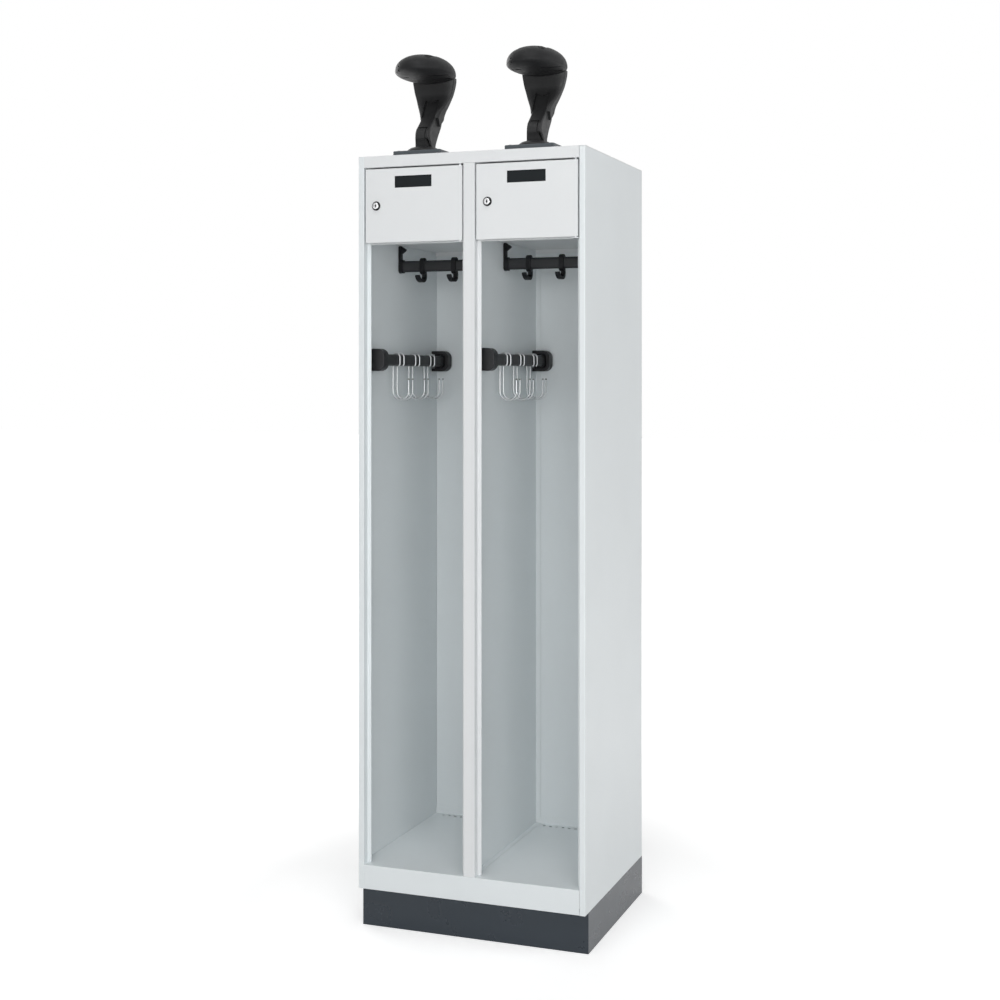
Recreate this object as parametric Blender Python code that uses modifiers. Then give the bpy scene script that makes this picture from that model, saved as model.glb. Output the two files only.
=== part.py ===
"""Firefighter gear locker: two open hanging compartments below two small lock boxes.

Metres, +Z up, front towards -Y. The origin is on the floor, midway across the locker
and midway between the reach of the helmet holders in front and the back of the carcass.
"""

import math
from dataclasses import dataclass

import bmesh
import bpy
from mathutils import Matrix, Vector

# Clearances and sheet
SEAM = 0.0003               # gap between pieces that touch
OVERRUN = 0.002             # how far a cutter runs past what it cuts
SHEET = 0.001               # carcass sheet
BEND = 0.0016               # outside radius of a fold
BEND_STEPS = 3
RUNNING = 0.0004            # clearance round a piece that slides or turns
WELD = 0.00001              # points closer than this are one

# Carcass
WIDTH = 0.600
DEPTH = 0.512
CARCASS_HEIGHT = 1.850
STILE = 0.015               # front face of each side stile
POST = 0.030                # front face of the centre post
REBATE = 0.022              # depth of the stile return down to the door stop
STOP = 0.010                # width of the door stop strip
TOP_RAIL = 0.029
BOTTOM_RAIL = 0.061
RAIL_HEM = 0.012
BACK_RECESS = 0.008         # back panel face in front of the rear edge
REAR_FLANGE = 0.015
FOOT_FLANGE = 0.020         # inward flange at the bottom of the carcass
TAB = 0.012                 # welding flanges of partition and shelves
POST_TAB = 0.022            # partition flange behind the centre post
UPSTAND = 0.017             # rear edge of the floor
VENT_RADIUS = 0.005
VENT_PITCH = 0.018
VENT_INSET = 0.030          # first vent from the wall of its compartment
VENT_SETBACK = 0.018        # vents in front of the floor's upstand
VENT_SIDES = 8

# Plinth
PLINTH_HEIGHT = 0.100
PLINTH_SETBACK = 0.027
PLINTH_SHEET = 0.002
PLINTH_FLANGE = 0.022

# Lock boxes and doors
DOOR_HEIGHT = 0.186
DOOR_GAP = 0.004
DOOR_RETURN = 0.018
HINGE_RETURN = 0.012        # shorter return beside the pivots
PIVOT_INSET = 0.007         # pivot axis from the door's right edge and front face
SHELF_RISE = 0.014          # shelf top above the door's lower edge
SHELF_LIP = 0.023
SHELF_HEM = 0.010
PIN_RADIUS = 0.003
PIN_HEAD_RADIUS = 0.005
PIN_HEAD = 0.002
PIN_REACH = 0.006           # pin beyond the sheet that it pivots
LUG_THICK = 0.002
LUG_DROP = 0.0015           # lug below the door
LUG_REACH = 0.009           # lug past the pivot axis

# Name plate pockets
LABEL_WIDTH = 0.0995
LABEL_HEIGHT = 0.029
LABEL_DROP = 0.020          # pocket below the door's upper edge
LABEL_BACK = 0.0035
LABEL_RIM = 0.0013
LABEL_POCKET = 0.002
LABEL_CLIP = 0.0035         # hidden flange past the pocket
LABEL_CLIP_THICK = 0.0012

# Cam locks
LOCK_INSET = 0.030          # lock axis from the door's left edge
LOCK_FLANGE_RADIUS = 0.0105
LOCK_PROUD = 0.0045
LOCK_CHAMFER = 0.0008
LOCK_BODY_RADIUS = 0.009
LOCK_BODY_END = 0.0218      # end of the threaded body behind the door's front
PLUG_RADIUS = 0.0062
NUT_THICK = 0.004
NUT_WALL = 0.0018
NUT_SIDES = 6
LOCK_SIDES = 24
CAM_CLEAR = 0.0008          # cam behind the door stop
CAM_THICK = 0.002
CAM_REACH = 0.030
CAM_ROOT_RADIUS = 0.0075
CAM_TIP_RADIUS = 0.0045
KEY_SLOT_WIDTH = 0.0036
KEY_SLOT_HEIGHT = 0.0094
KEY_SLOT_DEPTH = 0.003

# Oval tube of both rails
TUBE_HEIGHT = 0.030
TUBE_WIDTH = 0.015
TUBE_WALL = 0.0015
OVAL_STEPS = 6              # facets of each half round

# Hook rail
HOOK_RAIL_DROP = 0.056      # tube centre below the shelf
HOOK_RAIL_SETBACK = 0.250
HOOK_BRACKET_THICK = 0.0135
HOOK_BRACKET_WIDTH = 0.021
HOOK_BRACKET_TOP = 0.055    # bracket above the tube centre
HOOK_BRACKET_FOOT = 0.018   # bracket below the tube centre
HOOK_SOCKET_FLOOR = 0.005
HOOK_COLLAR_REACH = 0.0065
HOOK_COLLAR_WALL = 0.0028
BEAK_REACH = 0.0125
BEAK_HEIGHT = 0.019
BEAK_WIDTH = 0.014
BEAK_TIP = 0.0055
COAT_HOOK_FIRST = 0.069     # first hook from the wall of its compartment
COAT_HOOK_LAST = 0.0495     # last hook from the wall across
COAT_HOOK_COUNT = 3
COAT_HOOK_WIDTH = 0.015
COAT_HOOK_CROWN = 0.0070    # ring wall over and under the tube
COAT_HOOK_CHEEK = 0.0036    # ring wall before and behind the tube
COAT_HOOK_DROP = 0.0255     # hook below the tube's lower edge
COAT_HOOK_THROW = 0.0295    # tip in front of the tube centre
COAT_HOOK_THICK = 0.0068
COAT_HOOK_PRONG = 0.010     # width of the prong
# Bends of the prong as shares of throw (forwards) and drop (downwards)
PRONG_SHARES = (
    (-0.06, 0.17), (-0.14, 0.40), (-0.09, 0.66), (0.12, 0.92),
    (0.42, 1.00), (0.72, 0.86), (0.92, 0.60), (1.00, 0.30),
)

# Hanger rail
HANGER_STANDOFF = 0.030     # tube centre from the wall that carries it
HANGER_DROP = 0.251         # tube centre below the hook rail
HANGER_FRONT = 0.043        # front cup's face behind the locker's front
HANGER_REAR = 0.004         # rear cup's face in front of the partition's rear flange
CUP_HEIGHT = 0.057
CUP_REACH = 0.050           # cup from its wall
CUP_DEPTH = 0.030
CUP_CORNER = 0.019
CUP_WALL = 0.0085
CUP_FLOOR = 0.005
CUP_STEPS = 5
SLEEVE_LENGTH = 0.042
SLEEVE_WALL = 0.0040
SLEEVE_END_WALL = 0.0018

# Wire hooks
WIRE = 0.004
S_HOOK_REACH = 0.045        # shank to tip
S_HOOK_DEPTH = 0.103        # tube centre down to the bow's lowest wire centre
S_HOOK_TIP = 0.048          # tip below the tube centre
S_HOOK_FIRST_PAIR = 0.134   # middle of the first pair behind the front cup's face
S_HOOK_LAST_PAIR = 0.1144   # middle of the last pair in front of the rear cup's face
S_HOOK_PAIR = 0.026
S_HOOK_PAIRS = 3
S_HOOKS_A_PAIR = 2
S_HOOK_WRAP = math.radians(50)
BOW_STEPS = 7
CROWN_STEPS = 6
CURL_STEPS = 2

# Helmet holders
PLATE_SIZE = 0.130
PLATE_HEIGHT = 0.013
PLATE_SHEET = 0.002
PLATE_SETBACK = 0.022       # plate behind the locker's front
ROSETTE_RADIUS = 0.043
ROSETTE_HEIGHT = 0.012
ROSETTE_SETBACK = 0.068     # rosette's centre behind the locker's front
ROSETTE_SIDES = 32
# Rosette's profile as shares of radius and height
ROSETTE_SHARES = ((0.0, 1.0), (0.52, 0.95), (0.80, 0.72), (0.95, 0.34), (1.0, 0.0), (0.0, 0.0))
HOLDER_OVERHANG = 0.022     # dome in front of the locker's front
DOME_HALF_WIDTH = 0.072
DOME_HALF_LENGTH = 0.103
DOME_RISE = 0.047           # crown above the dome's widest level
DOME_DROP = 0.025           # underside below it
DOME_LEVEL = 0.202          # widest level above the plate
DOME_TILT = math.radians(5)
DOME_SEGMENTS = 28
DOME_RINGS = 14
DOME_SLOT_LENGTH = 0.034
DOME_SLOT_WIDTH = 0.013
DOME_SLOT_DEPTH = 0.004
DOME_SLOT_SIDE = 0.025      # slots beside the dome's centre
DOME_SLOT_FORWARD = 0.031   # slots in front of it
NOSE_HOLE_RADIUS = 0.003
NOSE_HOLE_SIDE = 0.0315     # hole left of the nose
NOSE_HOLE_SETBACK = 0.018   # bottom of the hole behind the nose
NOSE_HOLE_RISE = 0.003
STEM_FOOT = 0.085           # foot's centre behind the locker's front
STEM_SWEEP = 0.060          # by which the hood stands behind the foot
STEM_SECTION_POINTS = 24
ARM_WIDTH = 0.047           # at the foot
ARM_DEPTH = 0.070           # from front to back at its deepest
ARM_SQUARENESS = 7          # superellipse exponent of the sections
# Height, sweep of the front face, width and depth of each section, as shares of the
# dome's level, the sweep and the arm's own sizes
ARM_SECTION_SHARES = (
    (0.000, -0.300, 1.000, 0.430), (0.076, -0.350, 0.957, 0.437), (0.127, -0.420, 0.915, 0.580),
    (0.178, -0.490, 0.855, 0.800), (0.229, -0.500, 0.830, 0.940), (0.281, -0.422, 0.819, 1.000),
    (0.331, -0.250, 0.812, 0.965), (0.385, -0.042, 0.819, 0.870), (0.446, 0.167, 0.830, 0.700),
    (0.500, 0.325, 0.830, 0.570), (0.594, 0.530, 0.830, 0.450), (0.743, 0.760, 0.830, 0.340),
)
HOOD_WIDTH = 0.118          # at the dome
HOOD_DEPTH = 0.050          # at the dome
# Height, sweep of the centre, width, depth and squareness of each section
HOOD_SECTION_SHARES = (
    (0.340, 0.560, 0.343, 1.04, 7.0), (0.446, 0.600, 0.356, 1.04, 7.0), (0.500, 0.610, 0.411, 1.00, 6.0),
    (0.552, 0.648, 0.479, 0.96, 5.0), (0.603, 0.708, 0.559, 0.92, 4.4), (0.654, 0.750, 0.640, 0.88, 4.0),
    (0.705, 0.808, 0.725, 0.86, 3.6), (0.757, 0.855, 0.809, 0.86, 3.4), (0.808, 0.883, 0.877, 0.86, 3.2),
    (0.860, 0.888, 0.924, 0.88, 3.2), (0.900, 0.895, 0.945, 0.90, 3.2), (1.000, 0.920, 0.970, 1.00, 3.2),
)
HOOD_LEG = 0.071            # tips of the hood's two legs above the plate
HOOD_WAIST = 0.090          # lower edge of the hood in front
HOOD_REAR = 0.095           # and behind
HOOD_LEG_SHARE = 0.55       # leg's tip behind the foot's centre, of the sweep
HOOD_EDGE_SHARES = (0.35, 1.00)   # where the leg's edges meet the waist and the rear
ARCH_HALF = 0.0185          # half the width of the arch in the hood's front
ARCH_HEAD = 0.141           # arch's upper corners above the plate
ARCH_DIP = 0.008            # middle of its upper edge below them
ARCH_DEPTH = 0.012          # behind the sweep's end

# Screws and bolts
SCREW_RADIUS = 0.0027
SCREW_HEAD_RADIUS = 0.005
SCREW_HEAD = 0.0028
SCREW_TAIL = 0.005          # screw below the roof
SCREW_INSET = 0.012         # screws from the plate's edges
BOLT_RADIUS = 0.003
BOLT_HEAD_RADIUS = 0.0055
BOLT_HEAD = 0.004
BOLT_TAIL = 0.008
BOLT_ROWS = 3
FASTENER_SIDES = 10
HEAD_CROWN_SHARE = 0.6      # flat of a screw head, of its radius
HEAD_EDGE_SHARE = 0.55      # straight side of a screw head, of its height

# Places that follow from the sizes above
LEFT = -WIDTH / 2
RIGHT = WIDTH / 2
FRONT = (HOLDER_OVERHANG - DEPTH) / 2
BACK = FRONT + DEPTH
BASE = PLINTH_HEIGHT
TOP = BASE + CARCASS_HEIGHT
RAIL_UNDER = TOP - TOP_RAIL
FLOOR_TOP = BASE + BOTTOM_RAIL
STOP_FRONT = FRONT + REBATE
TAB_FRONT = STOP_FRONT + SHEET + SEAM
LIP_FRONT = TAB_FRONT + SHEET + SEAM
BACK_FACE = BACK - BACK_RECESS
UPSTAND_FRONT = BACK_FACE - SEAM - SHEET
PARTITION_REAR = UPSTAND_FRONT - SEAM - SHEET
SHELF_REAR = PARTITION_REAR - BEND
UNDER_ROOF = TOP - SHEET - SEAM
DOOR_TOP = RAIL_UNDER - DOOR_GAP
DOOR_BOTTOM = DOOR_TOP - DOOR_HEIGHT
SHELF_TOP = DOOR_BOTTOM + SHELF_RISE
HOOK_RAIL_Z = SHELF_TOP - SHEET - HOOK_RAIL_DROP
HOOK_RAIL_Y = FRONT + HOOK_RAIL_SETBACK
HANGER_Z = HOOK_RAIL_Z - HANGER_DROP
CUP_FRONT = FRONT + HANGER_FRONT
CUP_BACK = PARTITION_REAR - HANGER_REAR
PLATE_BASE = TOP + SEAM
PLATE_TOP = PLATE_BASE + PLATE_HEIGHT
PLATE_Y = FRONT + PLATE_SETBACK + PLATE_SIZE / 2
HALF = 0.5                  # the half extent of a unit cube


@dataclass(frozen=True)
class Finish:
    """Colour and surface of a material."""

    colour: tuple
    roughness: float
    metallic: float = 0.0


@dataclass(frozen=True)
class Bay:
    """One compartment: the walls that bound it and its opening in the front."""

    name: str
    wall: float
    far_wall: float
    left: float
    right: float

    @property
    def centre(self):
        return (self.left + self.right) / 2


PAINT = Finish((0.74, 0.76, 0.77), 0.38)
DOOR_PAINT = Finish((0.77, 0.79, 0.80), 0.36)
PLINTH_PAINT = Finish((0.055, 0.067, 0.078), 0.42)
BLACK_PLASTIC = Finish((0.022, 0.023, 0.025), 0.36)
BLACK_TUBE = Finish((0.030, 0.031, 0.033), 0.45)
CHROME = Finish((0.86, 0.87, 0.88), 0.12, 1.0)
ZINC = Finish((0.58, 0.60, 0.62), 0.32, 1.0)
WIRE_STEEL = Finish((0.62, 0.64, 0.66), 0.28, 1.0)

BAYS = (
    Bay("left", LEFT + SHEET, -SHEET / 2, LEFT + STILE, -POST / 2),
    Bay("right", SHEET / 2, RIGHT - SHEET, POST / 2, RIGHT - STILE),
)

# Axes of a profile's own x, y and length in the locker
XY = Matrix(((1, 0, 0), (0, 1, 0), (0, 0, 1))).to_4x4()
YZ = Matrix(((0, 0, 1), (1, 0, 0), (0, 1, 0))).to_4x4()
XZ = Matrix(((1, 0, 0), (0, 0, -1), (0, 1, 0))).to_4x4()


def empty_scene():
    """Remove every object of the open scene."""
    for item in list(bpy.data.objects):
        bpy.data.objects.remove(item, do_unlink=True)


def collection(name):
    """A new collection under the scene's own."""
    group = bpy.data.collections.new(name)
    bpy.context.scene.collection.children.link(group)
    return group


empty_scene()
PARTS = collection("firefighter_gear_locker")
TOOLS = collection("cutters_and_joined_shapes")


def painted(item, finish):
    """Give an object a material of its own."""
    material = bpy.data.materials.new(item.name)
    material.use_nodes = True
    shader = material.node_tree.nodes["Principled BSDF"]
    shader.inputs["Base Color"].default_value = (*finish.colour, 1)
    shader.inputs["Roughness"].default_value = finish.roughness
    shader.inputs["Metallic"].default_value = finish.metallic
    item.data.materials.clear()
    item.data.materials.append(material)
    return item


def placed(name, mesh, place, finish):
    """Link a mesh as a part, or as a tool when it has no finish."""
    item = bpy.data.objects.new(name, mesh)
    item.matrix_world = place
    if finish is None:
        TOOLS.objects.link(item)
        item.hide_render = True
        item.display_type = "WIRE"
        return item
    PARTS.objects.link(item)
    return painted(item, finish)


def mesh_from(name, bm):
    """Turn a bmesh into mesh data with its faces outwards."""
    bmesh.ops.recalc_face_normals(bm, faces=bm.faces)
    mesh = bpy.data.meshes.new(name)
    bm.to_mesh(mesh)
    bm.free()
    return mesh


def box(name, low, high, finish=None):
    """A block between two corners, with its origin at its centre."""
    low, high = Vector(low), Vector(high)
    bm = bmesh.new()
    bmesh.ops.create_cube(bm, size=1)
    bmesh.ops.scale(bm, vec=high - low, verts=bm.verts)
    return placed(name, mesh_from(name, bm), Matrix.Translation((low + high) / 2), finish)


def cylinder(name, radius, length, sides, place, finish=None):
    """A cylinder about its own z axis, centred on its place."""
    bm = bmesh.new()
    bmesh.ops.create_cone(bm, cap_ends=True, segments=sides, radius1=radius, radius2=radius, depth=length)
    return placed(name, mesh_from(name, bm), place, finish)


def boolean(target, tool, operation):
    """Add a cut or a join by a tool shape."""
    step = target.modifiers.new(tool.name, "BOOLEAN")
    step.operation = operation
    step.solver = "EXACT"
    step.object = tool


def cut(target, *tools):
    """Take tools away from a part."""
    for tool in tools:
        boolean(target, tool, "DIFFERENCE")


def join(target, *tools):
    """Weld shapes to a part."""
    for tool in tools:
        boolean(target, tool, "UNION")


def smooth(item, angle=math.radians(35)):
    """Shade a round piece smooth and keep its edges."""
    item.data.shade_smooth()
    item.data.set_sharp_from_angle(angle=angle)
    return item


def rounded_path(points, bend):
    """Replace the inner corners of an open path by arcs of the bend radius."""
    path = [Vector(points[0])]
    for before, corner, after in zip(points, points[1:], points[2:]):
        corner = Vector(corner)
        back = (Vector(before) - corner).normalized()
        ahead = (Vector(after) - corner).normalized()
        half = back.angle(ahead) / 2
        centre = corner + (back + ahead).normalized() * (bend / math.sin(half))
        start = corner + back * (bend / math.tan(half)) - centre
        end = corner + ahead * (bend / math.tan(half)) - centre
        sweep = start.angle_signed(end)
        for step in range(BEND_STEPS + 1):
            turn = Matrix.Rotation(-sweep * step / BEND_STEPS, 2)
            path.append(centre + turn @ start)
    path.append(Vector(points[-1]))
    return path


def folded_sheet(name, points, plane, start, end, finish, thickness=SHEET, bend=BEND):
    """A folded sheet: a path of its visible face, drawn out from start to end.

    The thickness lies to the left of the path.
    """
    path = rounded_path(points, bend)
    bm = bmesh.new()
    corners = [bm.verts.new((point.x, point.y, start)) for point in path]
    edges = [bm.edges.new(pair) for pair in zip(corners, corners[1:])]
    drawn = bmesh.ops.extrude_edge_only(bm, edges=edges)["geom"]
    moved = [item for item in drawn if isinstance(item, bmesh.types.BMVert)]
    bmesh.ops.translate(bm, vec=(0, 0, end - start), verts=moved)
    first = corners[0].link_faces[0]
    run = path[1] - path[0]
    outward = Vector((run.y, -run.x, 0))
    first.normal_update()
    if first.normal.dot(outward) < 0:
        bmesh.ops.reverse_faces(bm, faces=bm.faces)
    mesh = bpy.data.meshes.new(name)
    bm.to_mesh(mesh)
    bm.free()
    item = placed(name, mesh, plane, finish)
    wall = item.modifiers.new("sheet", "SOLIDIFY")
    wall.thickness = thickness
    wall.offset = -1
    wall.use_even_offset = True
    return item


def pan(name, low, high, open_side, finish, thickness, bend):
    """A box of sheet, open on one side, with rounded folds."""
    low, high = Vector(low), Vector(high)
    bm = bmesh.new()
    bmesh.ops.create_cube(bm, size=1)
    lid = [face for face in bm.faces if face.normal.dot(Vector(open_side)) > HALF]
    bmesh.ops.delete(bm, geom=lid, context="FACES_ONLY")
    bmesh.ops.scale(bm, vec=high - low, verts=bm.verts)
    mesh = bpy.data.meshes.new(name)
    bm.to_mesh(mesh)
    bm.free()
    item = placed(name, mesh, Matrix.Translation((low + high) / 2), finish)
    folds = item.modifiers.new("folds", "BEVEL")
    folds.width = bend
    folds.segments = BEND_STEPS - 1
    wall = item.modifiers.new("sheet", "SOLIDIFY")
    wall.thickness = thickness
    wall.offset = -1
    wall.use_even_offset = True
    return item


def extruded(name, outlines, thickness, place, finish=None):
    """A flat outline, with holes if it has more than one loop, drawn out both ways."""
    curve = bpy.data.curves.new(name, "CURVE")
    curve.dimensions = "2D"
    curve.fill_mode = "BOTH"
    curve.extrude = thickness / 2
    for outline in outlines:
        spline = curve.splines.new("POLY")
        spline.points.add(len(outline) - 1)
        for point, (x, y) in zip(spline.points, outline):
            point.co = (x, y, 0, 1)
        spline.use_cyclic_u = True
    return made_mesh(name, curve, place, finish)


def made_mesh(name, curve, place, finish):
    """A curve turned into a closed mesh object."""
    source = bpy.data.objects.new(name + "_curve", curve)
    TOOLS.objects.link(source)
    bpy.context.view_layer.update()
    seen = source.evaluated_get(bpy.context.evaluated_depsgraph_get())
    mesh = bpy.data.meshes.new_from_object(seen)
    mesh.name = name
    bm = bmesh.new()
    bm.from_mesh(mesh)
    bmesh.ops.remove_doubles(bm, verts=bm.verts, dist=WELD)
    bmesh.ops.recalc_face_normals(bm, faces=bm.faces)
    bm.to_mesh(mesh)
    bm.free()
    bpy.data.objects.remove(source, do_unlink=True)
    bpy.data.curves.remove(curve)
    return placed(name, mesh, place, finish)


def turned(name, profile, sides, place, finish=None):
    """A profile of radius and height, run down its outer side, turned about z."""
    bm = bmesh.new()
    corners = [bm.verts.new((radius, 0, height)) for radius, height in profile]
    for pair in zip(corners, corners[1:]):
        bm.edges.new(pair)
    if profile[0][0] > 0:
        bm.edges.new((corners[-1], corners[0]))
    mesh = bpy.data.meshes.new(name)
    bm.to_mesh(mesh)
    bm.free()
    item = placed(name, mesh, place, finish)
    spin = item.modifiers.new("turn", "SCREW")
    spin.angle = 2 * math.pi
    spin.steps = sides
    spin.render_steps = sides
    spin.use_merge_vertices = True
    spin.merge_threshold = WELD
    spin.use_smooth_shade = True
    return item


def wire(name, points, radius, place, finish):
    """A round wire through points in its own x, y plane."""
    curve = bpy.data.curves.new(name, "CURVE")
    curve.dimensions = "3D"
    curve.bevel_depth = radius
    curve.bevel_resolution = 1
    curve.use_fill_caps = True
    spline = curve.splines.new("POLY")
    spline.points.add(len(points) - 1)
    for point, (x, y) in zip(spline.points, points):
        point.co = (x, y, 0, 1)
    return smooth(made_mesh(name, curve, place, finish), math.radians(60))


def arc(centre, radius, start, end, steps):
    """Points along an arc, both ends included."""
    turns = (start + (end - start) * step / steps for step in range(steps + 1))
    return [(centre[0] + radius * math.cos(turn), centre[1] + radius * math.sin(turn)) for turn in turns]


def oval(height, width, centre=(0, 0), steps=OVAL_STEPS):
    """An outline with straight sides and round ends, taller than wide."""
    radius = width / 2
    rise = height / 2 - radius
    upper = arc((centre[0], centre[1] + rise), radius, 0, math.pi, steps)
    lower = arc((centre[0], centre[1] - rise), radius, math.pi, 2 * math.pi, steps)
    return upper + lower


def at(plane, x, y, z):
    """A profile plane moved to a point of the locker."""
    return Matrix.Translation((x, y, z)) @ plane


def pivot(name, place):
    """An empty on a joint's axis."""
    item = bpy.data.objects.new(name, None)
    item.matrix_world = place
    PARTS.objects.link(item)
    return item


def carry(parent, *items):
    """Parent items where they are."""
    bpy.context.view_layer.update()
    for item in items:
        item.parent = parent
        item.matrix_parent_inverse = parent.matrix_world.inverted()


# Carcass

def side_panel(name, mirror):
    """A wall with its stile, door stop, rear flange and foot flange; mirror is -1 on the left."""
    edge = RIGHT * mirror
    stile = edge - STILE * mirror
    stop = stile - STOP * mirror
    path = [
        (edge - REAR_FLANGE * mirror, BACK), (edge, BACK), (edge, FRONT), (stile, FRONT),
        (stile, STOP_FRONT), (stop, STOP_FRONT),
    ]
    if mirror > 0:
        path.reverse()
    panel = folded_sheet(name, path, XY, BASE, UNDER_ROOF, PAINT)
    across = sorted((edge - SHEET * mirror / 2, edge - FOOT_FLANGE * mirror))
    foot = box(name + "_foot", (across[0], TAB_FRONT, BASE), (across[1], BACK_FACE - SEAM, BASE + SHEET))
    join(panel, foot)
    for x, y in bolt_places():
        if x * mirror > 0:
            place = Matrix.Translation((x, y, BASE + SHEET / 2))
            hole = cylinder(name + "_bolt_hole", BOLT_RADIUS + SEAM, SHEET + OVERRUN, FASTENER_SIDES, place)
            cut(panel, hole)
    across = sorted((stile + SEAM * mirror, stop - OVERRUN * mirror))
    near = STOP_FRONT - BEND - SEAM
    far = STOP_FRONT + SHEET + OVERRUN
    below = box(name + "_stop_below", (across[0], near, BASE - OVERRUN), (across[1], far, FLOOR_TOP + SEAM))
    above = box(name + "_stop_above", (across[0], near, RAIL_UNDER - SEAM), (across[1], far, TOP))
    cut(panel, below, above)
    return panel


def centre_post():
    """The folded post between the openings, with a door stop on each side."""
    half = POST / 2
    path = [
        (-half - STOP, STOP_FRONT), (-half, STOP_FRONT), (-half, FRONT),
        (half, FRONT), (half, STOP_FRONT), (half + STOP, STOP_FRONT),
    ]
    return folded_sheet("centre_post", path, XY, FLOOR_TOP + SEAM, RAIL_UNDER - SEAM, PAINT)


def partition():
    """The sheet between the compartments, with its flanges."""
    face = SHEET / 2
    path = [
        (face - POST_TAB, TAB_FRONT), (face, TAB_FRONT), (face, PARTITION_REAR),
        (face + TAB, PARTITION_REAR),
    ]
    low, high = FLOOR_TOP + SEAM, UNDER_ROOF
    panel = folded_sheet("partition", path, XY, low, high, PAINT)
    near, far = TAB_FRONT + TAB, PARTITION_REAR - BEND
    foot = box("partition_foot", (-face, near, low), (face + TAB, far, low + SHEET))
    head = box("partition_head", (-face, near, high - SHEET), (face + TAB, far, high))
    join(panel, foot, head)
    heel = box(
        "partition_heel", (-face - OVERRUN, UPSTAND_FRONT - BEND - SEAM, low - OVERRUN),
        (face + TAB + OVERRUN, UPSTAND_FRONT, FLOOR_TOP + BEND + SEAM),
    )
    cut(panel, heel)
    return panel


def back_panel():
    """A shallow pan that closes the back."""
    inset = SHEET + SEAM
    return pan(
        "back_panel", (LEFT + inset, BACK_FACE, BASE), (RIGHT - inset, BACK - inset, UNDER_ROOF),
        (0, 1, 0), PAINT, SHEET, BEND,
    )


def roof_panel():
    """The roof, with the top rail folded down from its front edge."""
    path = [
        (BACK, TOP), (FRONT, TOP), (FRONT, RAIL_UNDER), (STOP_FRONT, RAIL_UNDER),
        (STOP_FRONT, RAIL_UNDER + RAIL_HEM),
    ]
    roof = folded_sheet("roof_panel", path, YZ, LEFT, RIGHT, PAINT)
    for edge in (LEFT, RIGHT):
        inner = math.copysign(RIGHT - STILE - SEAM, edge)
        outer = math.copysign(RIGHT + OVERRUN, edge)
        across = sorted((inner, outer))
        low = (across[0], FRONT - OVERRUN, RAIL_UNDER - OVERRUN)
        cut(roof, box("rail_end", low, (across[1], STOP_FRONT + OVERRUN, TOP - SHEET)))
    for bay in BAYS:
        hole = Matrix.Translation((*pivot_place(bay), RAIL_UNDER + SHEET / 2))
        cut(roof, cylinder("rail_pin_hole", PIN_RADIUS + SEAM, SHEET + OVERRUN, FASTENER_SIDES, hole))
    for x, y in screw_places():
        hole = Matrix.Translation((x, y, TOP))
        cut(roof, cylinder("roof_screw_hole", SCREW_RADIUS + SEAM, SHEET + OVERRUN, FASTENER_SIDES, hole))
    return roof


def vent_cutter(bay):
    """A row of cylinders along the rear of a compartment's floor, as one tool."""
    count = int((bay.far_wall - bay.wall - VENT_INSET) / VENT_PITCH)
    bm = bmesh.new()
    for index in range(count):
        x = bay.wall + VENT_INSET + index * VENT_PITCH
        place = Matrix.Translation((x, UPSTAND_FRONT - VENT_SETBACK, FLOOR_TOP - SHEET / 2))
        bmesh.ops.create_cone(
            bm, cap_ends=True, segments=VENT_SIDES, radius1=VENT_RADIUS, radius2=VENT_RADIUS,
            depth=SHEET + OVERRUN, matrix=place,
        )
    name = "floor_vents_" + bay.name
    return placed(name, mesh_from(name, bm), Matrix.Identity(4), None)


def floor_pan():
    """The floor, with the bottom rail folded down in front and an upstand behind."""
    path = [
        (UPSTAND_FRONT, FLOOR_TOP + UPSTAND), (UPSTAND_FRONT, FLOOR_TOP), (FRONT, FLOOR_TOP),
        (FRONT, BASE), (FRONT + FOOT_FLANGE, BASE),
    ]
    inset = SHEET + SEAM
    floor = folded_sheet("floor_pan", path, YZ, LEFT + inset, RIGHT - inset, PAINT)
    for edge in (LEFT, RIGHT):
        side = math.copysign(1, edge)
        wall = edge - inset * side
        across = sorted((wall, wall - SHEET * side))
        low = (across[0], TAB_FRONT + BEND, FLOOR_TOP - TAB)
        join(floor, box("floor_side", low, (across[1], UPSTAND_FRONT - BEND, FLOOR_TOP - SHEET / 2)))
        across = sorted((edge + OVERRUN * side, edge - (STILE + SEAM) * side))
        low = (across[0], FRONT - OVERRUN, BASE - OVERRUN)
        cut(floor, box("floor_corner", low, (across[1], TAB_FRONT, FLOOR_TOP + OVERRUN)))
    for bay in BAYS:
        cut(floor, vent_cutter(bay))
    return floor


def shelf(bay):
    """The floor of a lock box, with its lip in front, a flange down behind and one up each side."""
    path = [
        (SHELF_REAR, SHELF_TOP - TAB), (SHELF_REAR, SHELF_TOP), (LIP_FRONT, SHELF_TOP),
        (LIP_FRONT, SHELF_TOP - SHELF_LIP), (LIP_FRONT + SHELF_HEM, SHELF_TOP - SHELF_LIP),
    ]
    name = "shelf_" + bay.name
    start, end = bay.wall + SEAM, bay.far_wall - SEAM
    board = folded_sheet(name, path, YZ, start, end, PAINT)
    near, far = LIP_FRONT + TAB, SHELF_REAR - BEND
    for edge, inner in ((start, start + SHEET), (end - SHEET, end)):
        join(board, box(name + "_side", (edge, near, SHELF_TOP - SHEET / 2), (inner, far, SHELF_TOP + TAB)))
    return board


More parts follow.
